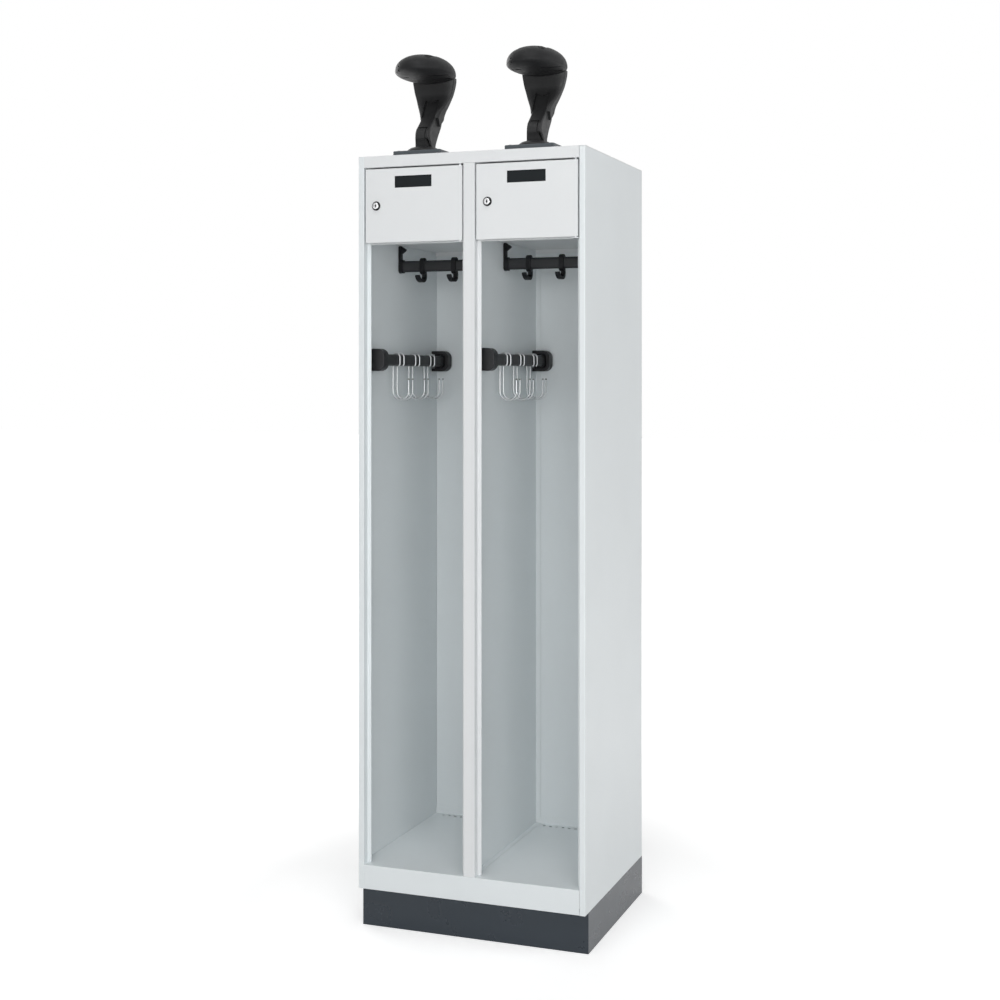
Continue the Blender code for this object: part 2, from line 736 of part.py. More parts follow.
def plinth():
    """The hollow base frame, with inward flanges above and below."""
    front = FRONT + PLINTH_SETBACK
    high = BASE - SEAM
    frame = box("plinth", (LEFT, front, 0), (RIGHT, BACK, high), PLINTH_PAINT)
    wall, flange = PLINTH_SHEET, PLINTH_FLANGE
    hollow = box(
        "plinth_hollow", (LEFT + wall, front + wall, wall), (RIGHT - wall, BACK - wall, high - wall),
    )
    through = box(
        "plinth_through", (LEFT + flange, front + flange, -OVERRUN),
        (RIGHT - flange, BACK - flange, high + OVERRUN),
    )
    cut(frame, hollow, through)
    for x, y in bolt_places():
        seat, tail = BASE + SHEET + SEAM, BASE - PLINTH_SHEET - BOLT_TAIL
        join(frame, headed("plinth_bolt", x, y, seat, BOLT_RADIUS, BOLT_HEAD_RADIUS, BOLT_HEAD, tail))
    return frame


def bolt_places():
    """Centres of the bolts between carcass and plinth."""
    across = RIGHT - (SHEET + FOOT_FLANGE) / 2
    near = FRONT + PLINTH_SETBACK + PLINTH_FLANGE + FOOT_FLANGE
    far = BACK_FACE - FOOT_FLANGE
    steps = [near + (far - near) * row / (BOLT_ROWS - 1) for row in range(BOLT_ROWS)]
    return [(side * across, y) for side in (-1, 1) for y in steps]


def headed(name, x, y, seat, radius, head_radius, head, tail, finish=None):
    """A headed screw or pin that points down, its head's underside at the seat's height."""
    length = seat - tail
    profile = [
        (0, head), (head_radius * HEAD_CROWN_SHARE, head), (head_radius, head * HEAD_EDGE_SHARE),
        (head_radius, 0), (radius, 0), (radius, -length), (0, -length),
    ]
    return turned(name, profile, FASTENER_SIDES, Matrix.Translation((x, y, seat)), finish)


# Lock boxes

def pivot_place(bay):
    """The door's pivot axis across and along the locker."""
    return bay.right - DOOR_GAP - PIVOT_INSET, FRONT + PIVOT_INSET


def hinge_pin(bay):
    """The upper pivot pin, dropped through the top rail into the door."""
    seat = RAIL_UNDER + SHEET + SEAM
    tail = DOOR_TOP - SHEET - PIN_REACH
    name = "hinge_pin_" + bay.name
    headed(name, *pivot_place(bay), seat, PIN_RADIUS, PIN_HEAD_RADIUS, PIN_HEAD, tail, ZINC)


def hinge_lug(bay):
    """The lug beside the stile, with the stud that carries the door's lower edge."""
    x, y = pivot_place(bay)
    top = DOOR_BOTTOM - LUG_DROP
    name = "hinge_lug_" + bay.name
    low = (x - LUG_REACH, FRONT + SHEET, top - LUG_THICK)
    lug = box(name, low, (bay.right - SEAM, STOP_FRONT - BEND, top), ZINC)
    height = LUG_DROP + LUG_THICK / 2 + SHEET + PIN_REACH
    stud = Matrix.Translation((x, y, top - LUG_THICK / 2 + height / 2))
    join(lug, cylinder(name + "_stud", PIN_RADIUS, height, FASTENER_SIDES, stud))


def door(bay):
    """A lock box door with its name plate pocket and lock, on its hinge axis."""
    name = "door_" + bay.name
    left, right = bay.left + DOOR_GAP, bay.right - DOOR_GAP
    low, high = (left, FRONT, DOOR_BOTTOM), (right, FRONT + DOOR_RETURN, DOOR_TOP)
    leaf = pan(name, low, high, (0, 1, 0), DOOR_PAINT, SHEET, BEND)
    cut(leaf, box(
        name + "_hinge_side", (right - SHEET - SEAM, FRONT + HINGE_RETURN, DOOR_BOTTOM - OVERRUN),
        (right + OVERRUN, FRONT + DOOR_RETURN + OVERRUN, DOOR_TOP + OVERRUN),
    ))
    x, y = pivot_place(bay)
    for z in (DOOR_BOTTOM + SHEET / 2, DOOR_TOP - SHEET / 2):
        hole = Matrix.Translation((x, y, z))
        cut(leaf, cylinder(name + "_pin_hole", PIN_RADIUS + RUNNING, SHEET + OVERRUN, FASTENER_SIDES, hole))
    lock_x, lock_z = left + LOCK_INSET, (DOOR_TOP + DOOR_BOTTOM) / 2
    hole = at(XZ, lock_x, FRONT, lock_z)
    cut(leaf, cylinder(name + "_lock_hole", LOCK_BODY_RADIUS + SEAM, SHEET * 2 + OVERRUN, LOCK_SIDES, hole))
    label = label_holder(bay, leaf)
    barrel, nut, plug = cam_lock(bay, lock_x, lock_z)
    hinge = pivot("hinge_" + bay.name, Matrix.Translation((x, y, DOOR_BOTTOM)))
    turn = pivot("lock_axis_" + bay.name, at(XZ, lock_x, FRONT, lock_z))
    carry(turn, plug)
    carry(hinge, leaf, label, barrel, nut, turn)
    return hinge


def label_holder(bay, leaf):
    """The recessed pocket for a name plate, clipped behind the door's sheet."""
    name = "label_holder_" + bay.name
    half_width, half_height = LABEL_WIDTH / 2, LABEL_HEIGHT / 2
    x, z = bay.centre, DOOR_TOP - LABEL_DROP - half_height
    front = FRONT + SEAM
    cut(leaf, box(
        name + "_hole", (x - half_width - SEAM, FRONT - OVERRUN, z - half_height - SEAM),
        (x + half_width + SEAM, FRONT + SHEET + OVERRUN, z + half_height + SEAM),
    ))
    body = box(
        name, (x - half_width, front, z - half_height),
        (x + half_width, FRONT + LABEL_BACK, z + half_height), BLACK_PLASTIC,
    )
    clip = box(
        name + "_clip",
        (x - half_width - LABEL_CLIP, FRONT + SHEET + SEAM, z - half_height - LABEL_CLIP),
        (x + half_width + LABEL_CLIP, FRONT + SHEET + SEAM + LABEL_CLIP_THICK, z + half_height + LABEL_CLIP),
    )
    rim_width, rim_height = half_width - LABEL_RIM, half_height - LABEL_RIM
    pocket = box(
        name + "_pocket", (x - rim_width, FRONT - OVERRUN, z - rim_height),
        (x + rim_width, front + LABEL_POCKET, z + rim_height),
    )
    join(body, clip)
    cut(body, pocket)
    return body


def cam_lock(bay, x, z):
    """Barrel, nut and plug of a cam lock; the plug carries the cam, hanging down when unlocked."""
    place = at(XZ, x, FRONT, z)
    bore = PLUG_RADIUS + RUNNING
    flange, proud, chamfer = LOCK_FLANGE_RADIUS, LOCK_PROUD, LOCK_CHAMFER
    barrel = turned("lock_barrel_" + bay.name, [
        (flange - chamfer, proud), (flange, proud - chamfer), (flange, SEAM),
        (LOCK_BODY_RADIUS, SEAM), (LOCK_BODY_RADIUS, -LOCK_BODY_END), (bore, -LOCK_BODY_END),
        (bore, proud),
    ], LOCK_SIDES, place, CHROME)
    inner = (LOCK_BODY_RADIUS + SEAM) / math.cos(math.pi / NUT_SIDES)
    outer = inner + NUT_WALL / math.cos(math.pi / NUT_SIDES)
    face = -SHEET - SEAM
    nut = turned("lock_nut_" + bay.name, [
        (outer, face), (outer, face - NUT_THICK), (inner, face - NUT_THICK), (inner, face),
    ], NUT_SIDES, place, ZINC)
    cam_front = -(REBATE + SHEET + CAM_CLEAR)
    plug_front = proud - SEAM
    plug = turned("lock_plug_" + bay.name, [
        (0, plug_front), (PLUG_RADIUS - chamfer, plug_front), (PLUG_RADIUS, plug_front - chamfer),
        (PLUG_RADIUS, cam_front - CAM_THICK / 2), (0, cam_front - CAM_THICK / 2),
    ], LOCK_SIDES, place, CHROME)
    root = arc((0, 0), CAM_ROOT_RADIUS, 0, math.pi, OVAL_STEPS)
    tip = arc((0, CAM_TIP_RADIUS - CAM_REACH), CAM_TIP_RADIUS, math.pi, 2 * math.pi, OVAL_STEPS)
    cam_y = FRONT - cam_front + CAM_THICK / 2
    join(plug, extruded(
        "cam_" + bay.name, [root + tip], CAM_THICK, at(XZ, x, cam_y, z),
    ))
    half_width, half_height = KEY_SLOT_WIDTH / 2, KEY_SLOT_HEIGHT / 2
    diamond = [(-half_width, 0), (0, -half_height), (half_width, 0), (0, half_height)]
    slot_y = FRONT - plug_front
    cut(plug, extruded("key_slot_" + bay.name, [diamond], KEY_SLOT_DEPTH * 2, at(XZ, x, slot_y, z)))
    return barrel, nut, plug


# Hook rail

def oval_tube(name, plane_place, length, finish):
    """A length of the oval tube, centred on its place."""
    outlines = [
        oval(TUBE_HEIGHT, TUBE_WIDTH),
        oval(TUBE_HEIGHT - 2 * TUBE_WALL, TUBE_WIDTH - 2 * TUBE_WALL),
    ]
    return smooth(extruded(name, outlines, length, plane_place, finish))


def hook_rail(bay):
    """The tube from wall to wall."""
    start = bay.wall + SEAM + HOOK_SOCKET_FLOOR + SEAM
    end = bay.far_wall - SEAM - HOOK_SOCKET_FLOOR - SEAM
    place = at(YZ, (start + end) / 2, HOOK_RAIL_Y, HOOK_RAIL_Z)
    return oval_tube("hook_rail_" + bay.name, place, end - start, BLACK_TUBE)


def hook_rail_bracket(bay, number, wall, inward):
    """A wall bracket with a socket for the tube and a small peg; inward is 1 away from a left wall."""
    name = f"hook_rail_bracket_{bay.name}_{number}"
    half = HOOK_BRACKET_WIDTH / 2
    face = wall + SEAM * inward
    foot = arc((0, half - HOOK_BRACKET_FOOT), half, math.pi, 2 * math.pi, OVAL_STEPS)
    corner = half / 2
    head = arc((half - corner, HOOK_BRACKET_TOP - corner), corner, 0, math.pi / 2, 2)
    head += arc((corner - half, HOOK_BRACKET_TOP - corner), corner, math.pi / 2, math.pi, 2)
    middle = face + HOOK_BRACKET_THICK * inward / 2
    place = at(YZ, middle, HOOK_RAIL_Y, HOOK_RAIL_Z)
    bracket = extruded(name, [foot + head], HOOK_BRACKET_THICK, place, BLACK_PLASTIC)
    collar_height, collar_width = TUBE_HEIGHT + 2 * HOOK_COLLAR_WALL, TUBE_WIDTH + 2 * HOOK_COLLAR_WALL
    reach = HOOK_BRACKET_THICK / 2 + HOOK_COLLAR_REACH
    x = middle + reach * inward / 2
    collar = extruded(
        name + "_collar", [oval(collar_height, collar_width)], reach,
        at(YZ, x, HOOK_RAIL_Y, HOOK_RAIL_Z),
    )
    bore = oval(TUBE_HEIGHT + 2 * SEAM, TUBE_WIDTH + 2 * SEAM)
    depth = HOOK_BRACKET_THICK - HOOK_SOCKET_FLOOR + HOOK_COLLAR_REACH + OVERRUN
    x = face + (HOOK_SOCKET_FLOOR + depth / 2) * inward
    socket = extruded(name + "_socket", [bore], depth, at(YZ, x, HOOK_RAIL_Y, HOOK_RAIL_Z))
    outer = face + HOOK_BRACKET_THICK * inward
    crest = HOOK_RAIL_Z + HOOK_BRACKET_TOP
    root = middle
    beak = [
        (root, crest - corner), (outer, crest - corner), (outer + BEAK_REACH * inward, crest - corner),
        (outer + BEAK_REACH * inward, crest - corner - BEAK_TIP), (outer, crest - BEAK_HEIGHT),
        (root, crest - BEAK_HEIGHT),
    ]
    peg = extruded(name + "_peg", [beak], BEAK_WIDTH, at(XZ, 0, HOOK_RAIL_Y, 0))
    join(bracket, collar, peg)
    cut(bracket, socket)
    return bracket


def stroke(points, width):
    """The closed outline of a thick line through points, with a round end."""
    line = [Vector(point) for point in points]
    left, right = [], []
    for index, point in enumerate(line):
        before = line[max(index - 1, 0)]
        after = line[min(index + 1, len(line) - 1)]
        run = (after - before).normalized()
        side = Vector((-run.y, run.x)) * (width / 2)
        left.append(point + side)
        right.append(point - side)
    run = (line[-1] - line[-2]).normalized()
    tip = line[-1] + run * (width / 2)
    return [(p.x, p.y) for p in left] + [(tip.x, tip.y)] + [(p.x, p.y) for p in reversed(right)]


def coat_hook(bay, number):
    """A hook whose ring slides on the oval tube."""
    name = f"coat_hook_{bay.name}_{number + 1}"
    first, last = bay.wall + COAT_HOOK_FIRST, bay.far_wall - COAT_HOOK_LAST
    x = first + (last - first) * number / (COAT_HOOK_COUNT - 1)
    outer = oval(TUBE_HEIGHT + 2 * COAT_HOOK_CROWN, TUBE_WIDTH + 2 * COAT_HOOK_CHEEK)
    inner = oval(TUBE_HEIGHT + 2 * RUNNING, TUBE_WIDTH + 2 * RUNNING)
    place = at(YZ, x, HOOK_RAIL_Y, HOOK_RAIL_Z)
    ring = extruded(name, [outer, inner], COAT_HOOK_WIDTH, place, BLACK_PLASTIC)
    base = -TUBE_HEIGHT / 2
    run = [(-COAT_HOOK_THROW * forward, base - COAT_HOOK_DROP * down) for forward, down in PRONG_SHARES]
    prong = extruded(name + "_prong", [stroke(run, COAT_HOOK_THICK)], COAT_HOOK_PRONG, place)
    join(ring, prong)
    return smooth(ring)


# Hanger rail

def hanger_x(bay):
    """The tube's centre across the locker."""
    return bay.wall + HANGER_STANDOFF


def hanger_rail(bay):
    """The tube from the front cup to the rear cup."""
    start, end = CUP_FRONT + CUP_FLOOR + SEAM, CUP_BACK - CUP_FLOOR - SEAM
    place = at(XZ, hanger_x(bay), (start + end) / 2, HANGER_Z)
    return oval_tube("hanger_rail_" + bay.name, place, end - start, BLACK_TUBE)


def d_outline(reach, height, corner, back):
    """A D standing on a wall at x = back, with two round corners away from it."""
    half = height / 2
    upper = arc((reach - corner, half - corner), corner, 0, math.pi / 2, CUP_STEPS)
    lower = arc((reach - corner, corner - half), corner, -math.pi / 2, 0, CUP_STEPS)
    return upper + [(back, half), (back, -half)] + lower[:-1]


def tapered_oval(name, place, length, height, width, end_height, end_width):
    """An oval sleeve solid that narrows along its length."""
    bm = bmesh.new()
    near = [bm.verts.new((x, y, 0)) for x, y in oval(height, width)]
    far = [bm.verts.new((x, y, length)) for x, y in oval(end_height, end_width)]
    bm.faces.new(near)
    bm.faces.new(far)
    for index in range(len(near)):
        after = (index + 1) % len(near)
        bm.faces.new((near[index], near[after], far[after], far[index]))
    return placed(name, mesh_from(name, bm), place, None)


def hanger_bracket(bay, end, face, inward):
    """A wall cup that takes one end of the hanger rail; inward is 1 towards the back."""
    name = f"hanger_bracket_{bay.name}_{end}"
    x = hanger_x(bay)
    outline = [(px - HANGER_STANDOFF, pz) for px, pz in d_outline(CUP_REACH, CUP_HEIGHT, CUP_CORNER, SEAM)]
    middle = face + CUP_DEPTH * inward / 2
    cup = extruded(name, [outline], CUP_DEPTH, at(XZ, x, middle, HANGER_Z), BLACK_PLASTIC)
    inner = d_outline(
        CUP_REACH - CUP_WALL, CUP_HEIGHT - 2 * CUP_WALL, CUP_CORNER - CUP_WALL, -OVERRUN,
    )
    depth = CUP_DEPTH - CUP_FLOOR + OVERRUN
    y = face + (CUP_FLOOR + depth / 2) * inward
    slot = extruded(
        name + "_slot", [[(px - HANGER_STANDOFF, pz) for px, pz in inner]], depth, at(XZ, x, y, HANGER_Z),
    )
    root_wall, end_wall = 2 * SLEEVE_WALL, 2 * SLEEVE_END_WALL
    turn = Matrix.Identity(4) if inward < 0 else Matrix.Rotation(math.pi, 4, "Y")
    sleeve = tapered_oval(
        name + "_sleeve", at(XZ, x, face + CUP_FLOOR * inward / 2, HANGER_Z) @ turn, SLEEVE_LENGTH,
        TUBE_HEIGHT + root_wall, TUBE_WIDTH + root_wall, TUBE_HEIGHT + end_wall, TUBE_WIDTH + end_wall,
    )
    depth = SLEEVE_LENGTH + OVERRUN
    y = face + (CUP_FLOOR + depth / 2) * inward
    bore = extruded(
        name + "_bore", [oval(TUBE_HEIGHT + 2 * SEAM, TUBE_WIDTH + 2 * SEAM)], depth,
        at(XZ, x, y, HANGER_Z),
    )
    cut(cup, slot)
    join(cup, sleeve)
    cut(cup, bore)
    return cup


def s_hook_path():
    """The wire's centre line about the tube's centre: curl, crown, shank, bow and tip."""
    round_centre = (TUBE_HEIGHT - TUBE_WIDTH) / 2
    loop = TUBE_WIDTH / 2 + RUNNING + WIRE / 2
    curl = arc((0, -round_centre), loop, -S_HOOK_WRAP, 0, CURL_STEPS)
    crown = arc((0, round_centre), loop, 0, math.pi, CROWN_STEPS)
    bow_radius = S_HOOK_REACH / 2
    bow_centre = (bow_radius - loop, bow_radius - S_HOOK_DEPTH)
    bow = arc(bow_centre, bow_radius, math.pi, 2 * math.pi, BOW_STEPS)
    return curl + crown + bow + [(S_HOOK_REACH - loop, -S_HOOK_TIP)]


def s_hook_places():
    """Where the wire hooks hang along the rail: pairs at equal spaces."""
    first, last = CUP_FRONT + S_HOOK_FIRST_PAIR, CUP_BACK - S_HOOK_LAST_PAIR
    places = []
    for pair in range(S_HOOK_PAIRS):
        middle = first + (last - first) * pair / (S_HOOK_PAIRS - 1)
        for half in range(S_HOOKS_A_PAIR):
            places.append(middle + S_HOOK_PAIR * (half - (S_HOOKS_A_PAIR - 1) / 2))
    return places


def s_hooks(bay):
    """The wire hooks on one hanger rail."""
    for number, y in enumerate(s_hook_places(), 1):
        name = f"s_hook_{bay.name}_{number}"
        wire(name, s_hook_path(), WIRE / 2, at(XZ, hanger_x(bay), y, HANGER_Z), WIRE_STEEL)


# Helmet holders

def screw_places():
    """Centres of the screws through both holder plates and the roof."""
    half = PLATE_SIZE / 2 - SCREW_INSET
    corners = ((-half, -half), (half, -half), (-half, half), (half, half))
    return [(bay.centre + dx, PLATE_Y + dy) for bay in BAYS for dx, dy in corners]


def holder_plate(bay):
    """The folded plate under a helmet holder, with the four screws that fix it to the roof."""
    half = PLATE_SIZE / 2
    low = (bay.centre - half, PLATE_Y - half, PLATE_BASE)
    high = (bay.centre + half, PLATE_Y + half, PLATE_TOP)
    plate = pan("holder_plate_" + bay.name, low, high, (0, 0, -1), PLINTH_PAINT, PLATE_SHEET, 2 * BEND)
    for x, y in screw_places():
        if abs(x - bay.centre) < half:
            tail = TOP - SHEET - SCREW_TAIL
            size = (SCREW_RADIUS, SCREW_HEAD_RADIUS, SCREW_HEAD)
            join(plate, headed("plate_screw", x, y, PLATE_TOP, *size, tail))
    return plate


def dome_mesh(name, grown):
    """The holder's rounded head about its own centre, grown on all sides by a clearance."""
    bm = bmesh.new()
    bmesh.ops.create_uvsphere(bm, u_segments=DOME_SEGMENTS, v_segments=DOME_RINGS, radius=1)
    for vert in bm.verts:
        height = DOME_RISE if vert.co.z > 0 else DOME_DROP
        vert.co.x *= DOME_HALF_WIDTH + grown
        vert.co.y *= DOME_HALF_LENGTH + grown
        vert.co.z *= height + grown
    bmesh.ops.rotate(bm, verts=bm.verts, matrix=Matrix.Rotation(DOME_TILT, 3, "X"))
    return mesh_from(name, bm)


def dome_reach():
    """How far the tilted head stands in front of its own centre."""
    mesh = dome_mesh("dome_measure", 0)
    reach = -min(vert.co.y for vert in mesh.vertices)
    bpy.data.meshes.remove(mesh)
    return reach


def holder_dome(bay):
    """The rounded head, with two slots in its crown and a hole beside its nose."""
    name = "holder_dome_" + bay.name
    y, z = FRONT - HOLDER_OVERHANG + dome_reach(), PLATE_TOP + DOME_LEVEL
    place = Matrix.Translation((bay.centre, y, z))
    dome = placed(name, dome_mesh(name, 0), place, BLACK_PLASTIC)
    core = placed(name + "_core", dome_mesh(name + "_core", -DOME_SLOT_DEPTH), place, None)
    turn = Matrix.Rotation(math.pi / 2, 4, "Z")
    for side in (-DOME_SLOT_SIDE, DOME_SLOT_SIDE):
        slot_place = Matrix.Translation((bay.centre + side, y - DOME_SLOT_FORWARD, z + DOME_RISE)) @ turn
        slot = extruded(name + "_slot", [oval(DOME_SLOT_LENGTH, DOME_SLOT_WIDTH)], DOME_RISE, slot_place)
        cut(slot, core)
        cut(dome, slot)
    nose = cylinder(
        name + "_nose", NOSE_HOLE_RADIUS, NOSE_HOLE_SETBACK * 2, FASTENER_SIDES,
        at(XZ, bay.centre - NOSE_HOLE_SIDE, FRONT - HOLDER_OVERHANG, z + NOSE_HOLE_RISE),
    )
    cut(dome, nose)
    return smooth(dome), place


def section(height, centre, half_width, half_depth, squareness):
    """Points of one superellipse section of the stem."""
    ring = []
    for step in range(STEM_SECTION_POINTS):
        turn = 2 * math.pi * (step + HALF) / STEM_SECTION_POINTS
        across, along = math.cos(turn), math.sin(turn)
        x = half_width * math.copysign(abs(across) ** (2 / squareness), across)
        y = half_depth * math.copysign(abs(along) ** (2 / squareness), along)
        ring.append((x, centre + y, height))
    return ring


def lofted(name, rings, place, finish=None):
    """A solid drawn through rings of the same number of points, closed at both ends."""
    bm = bmesh.new()
    rows = [[bm.verts.new(point) for point in ring] for ring in rings]
    for lower, upper in zip(rows, rows[1:]):
        for index in range(len(lower)):
            after = (index + 1) % len(lower)
            bm.faces.new((lower[index], lower[after], upper[after], upper[index]))
    bm.faces.new(rows[0])
    bm.faces.new(rows[-1])
    return placed(name, mesh_from(name, bm), place, finish)


def holder_hood(name, place):
    """The hood under the head, with a leg down each side of the arm and an arch in front."""
    foot = FRONT + STEM_FOOT
    rings = [
        section(
            DOME_LEVEL * up, foot + STEM_SWEEP * sweep, HOOD_WIDTH * width / 2, HOOD_DEPTH * depth / 2,
            squareness,
        )
        for up, sweep, width, depth, squareness in HOOD_SECTION_SHARES
    ]
    hood = lofted(name, rings, place)
    centre = place.to_translation()
    near, far = foot - HOOD_DEPTH, foot + STEM_SWEEP + HOOD_DEPTH
    arch = [
        (-ARCH_HALF, -OVERRUN), (ARCH_HALF, -OVERRUN), (ARCH_HALF, ARCH_HEAD), (0, ARCH_HEAD - ARCH_DIP),
        (-ARCH_HALF, ARCH_HEAD),
    ]
    arch_back = foot + STEM_SWEEP - ARCH_DEPTH
    middle = at(XZ, centre.x, (near + arch_back) / 2, centre.z)
    cut(hood, extruded(name + "_arch", [arch], arch_back - near, middle))
    front_edge, rear_edge = (foot + STEM_SWEEP * share for share in HOOD_EDGE_SHARES)
    under = [
        (near, HOOD_WAIST), (near, -OVERRUN), (far, -OVERRUN), (far, HOOD_REAR), (rear_edge, HOOD_REAR),
        (foot + STEM_SWEEP * HOOD_LEG_SHARE, HOOD_LEG), (front_edge, HOOD_WAIST),
    ]
    cut(hood, extruded(name + "_under", [under], HOOD_WIDTH, at(YZ, centre.x, 0, centre.z)))
    return hood


def holder_stem(bay, dome_place):
    """The foot rosette, the squared arm and the hood that carries the head."""
    name = "holder_stem_" + bay.name
    foot = FRONT + STEM_FOOT
    place = Matrix.Translation((bay.centre, 0, PLATE_TOP + SEAM))
    rings = [
        section(
            DOME_LEVEL * up, foot + STEM_SWEEP * sweep + ARM_DEPTH * depth / 2, ARM_WIDTH * width / 2,
            ARM_DEPTH * depth / 2, ARM_SQUARENESS,
        )
        for up, sweep, width, depth in ARM_SECTION_SHARES
    ]
    stem = lofted(name, rings, place, BLACK_PLASTIC)
    join(stem, holder_hood(name + "_hood", place))
    profile = [(ROSETTE_RADIUS * out, ROSETTE_HEIGHT * up) for out, up in ROSETTE_SHARES]
    rosette_place = Matrix.Translation((bay.centre, FRONT + ROSETTE_SETBACK, PLATE_TOP + SEAM))
    join(stem, turned(name + "_rosette", profile, ROSETTE_SIDES, rosette_place))
    cut(stem, placed(name + "_seat", dome_mesh(name + "_seat", SEAM), dome_place, None))
    return smooth(stem)


def build():
    """Make every part of the locker."""
    side_panel("side_panel_left", -1)
    side_panel("side_panel_right", 1)
    centre_post()
    partition()
    back_panel()
    roof_panel()
    floor_pan()
    plinth()
    for bay in BAYS:
        shelf(bay)
        hinge_pin(bay)
        hinge_lug(bay)
        door(bay)
        hook_rail(bay)
        hook_rail_bracket(bay, 1, bay.wall, 1)
        hook_rail_bracket(bay, 2, bay.far_wall, -1)
        for number in range(COAT_HOOK_COUNT):
            coat_hook(bay, number)
        hanger_rail(bay)
        hanger_bracket(bay, "front", CUP_FRONT, 1)
        hanger_bracket(bay, "rear", CUP_BACK, -1)
        s_hooks(bay)
        holder_plate(bay)
        dome_place = holder_dome(bay)[1]
        holder_stem(bay, dome_place)


build()
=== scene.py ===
"""Firefighter gear locker: finishes and fine shapes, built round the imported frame.

Metres, +Z up, the open front towards -Y. Each sub-assembly is a class that holds its sizes
and builds and dresses its own pieces.
"""

import logging
import math
from contextlib import contextmanager
from dataclasses import dataclass, field
from enum import Enum
from typing import Callable, Iterator, Sequence

import bmesh
import bpy
from mathutils import Matrix, Vector


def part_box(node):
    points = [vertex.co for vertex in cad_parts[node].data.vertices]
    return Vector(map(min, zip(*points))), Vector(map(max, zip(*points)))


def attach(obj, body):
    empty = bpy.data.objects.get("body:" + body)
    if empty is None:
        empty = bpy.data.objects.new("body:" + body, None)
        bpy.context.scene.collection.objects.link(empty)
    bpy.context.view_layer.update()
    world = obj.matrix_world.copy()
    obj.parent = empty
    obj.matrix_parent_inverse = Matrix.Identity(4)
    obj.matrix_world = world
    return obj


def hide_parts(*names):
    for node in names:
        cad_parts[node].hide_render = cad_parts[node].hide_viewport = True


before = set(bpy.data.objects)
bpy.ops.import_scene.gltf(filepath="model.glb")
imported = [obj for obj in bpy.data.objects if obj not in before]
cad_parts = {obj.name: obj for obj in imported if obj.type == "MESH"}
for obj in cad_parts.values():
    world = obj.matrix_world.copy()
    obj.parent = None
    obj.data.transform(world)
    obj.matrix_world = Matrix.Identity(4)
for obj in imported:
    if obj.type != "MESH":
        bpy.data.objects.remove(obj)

log = logging.getLogger("locker")

Colour = tuple[float, float, float]
Pair = tuple[float, float]
Triple = tuple[float, float, float]
Quad = tuple[float, float, float, float]

ROOT = "locker"
TURN = 2 * math.pi
QUARTER = math.pi / 2
CLEAR = 0.0003              # gap between pieces that touch
LEVEL = CLEAR / 10          # points closer than this lie at one level
OVERRUN = 0.001             # how far a cutter runs past what it cuts
FACING = 0.9                # a face whose normal has more of an axis than this looks along it


class Side(Enum):
    """The two compartments, as seen from the front."""

    LEFT = "left"
    RIGHT = "right"


class Axis(Enum):
    """The direction that a round primitive's length runs in."""

    X = (0.0, QUARTER, 0.0)
    Y = (QUARTER, 0.0, 0.0)
    Z = (0.0, 0.0, 0.0)


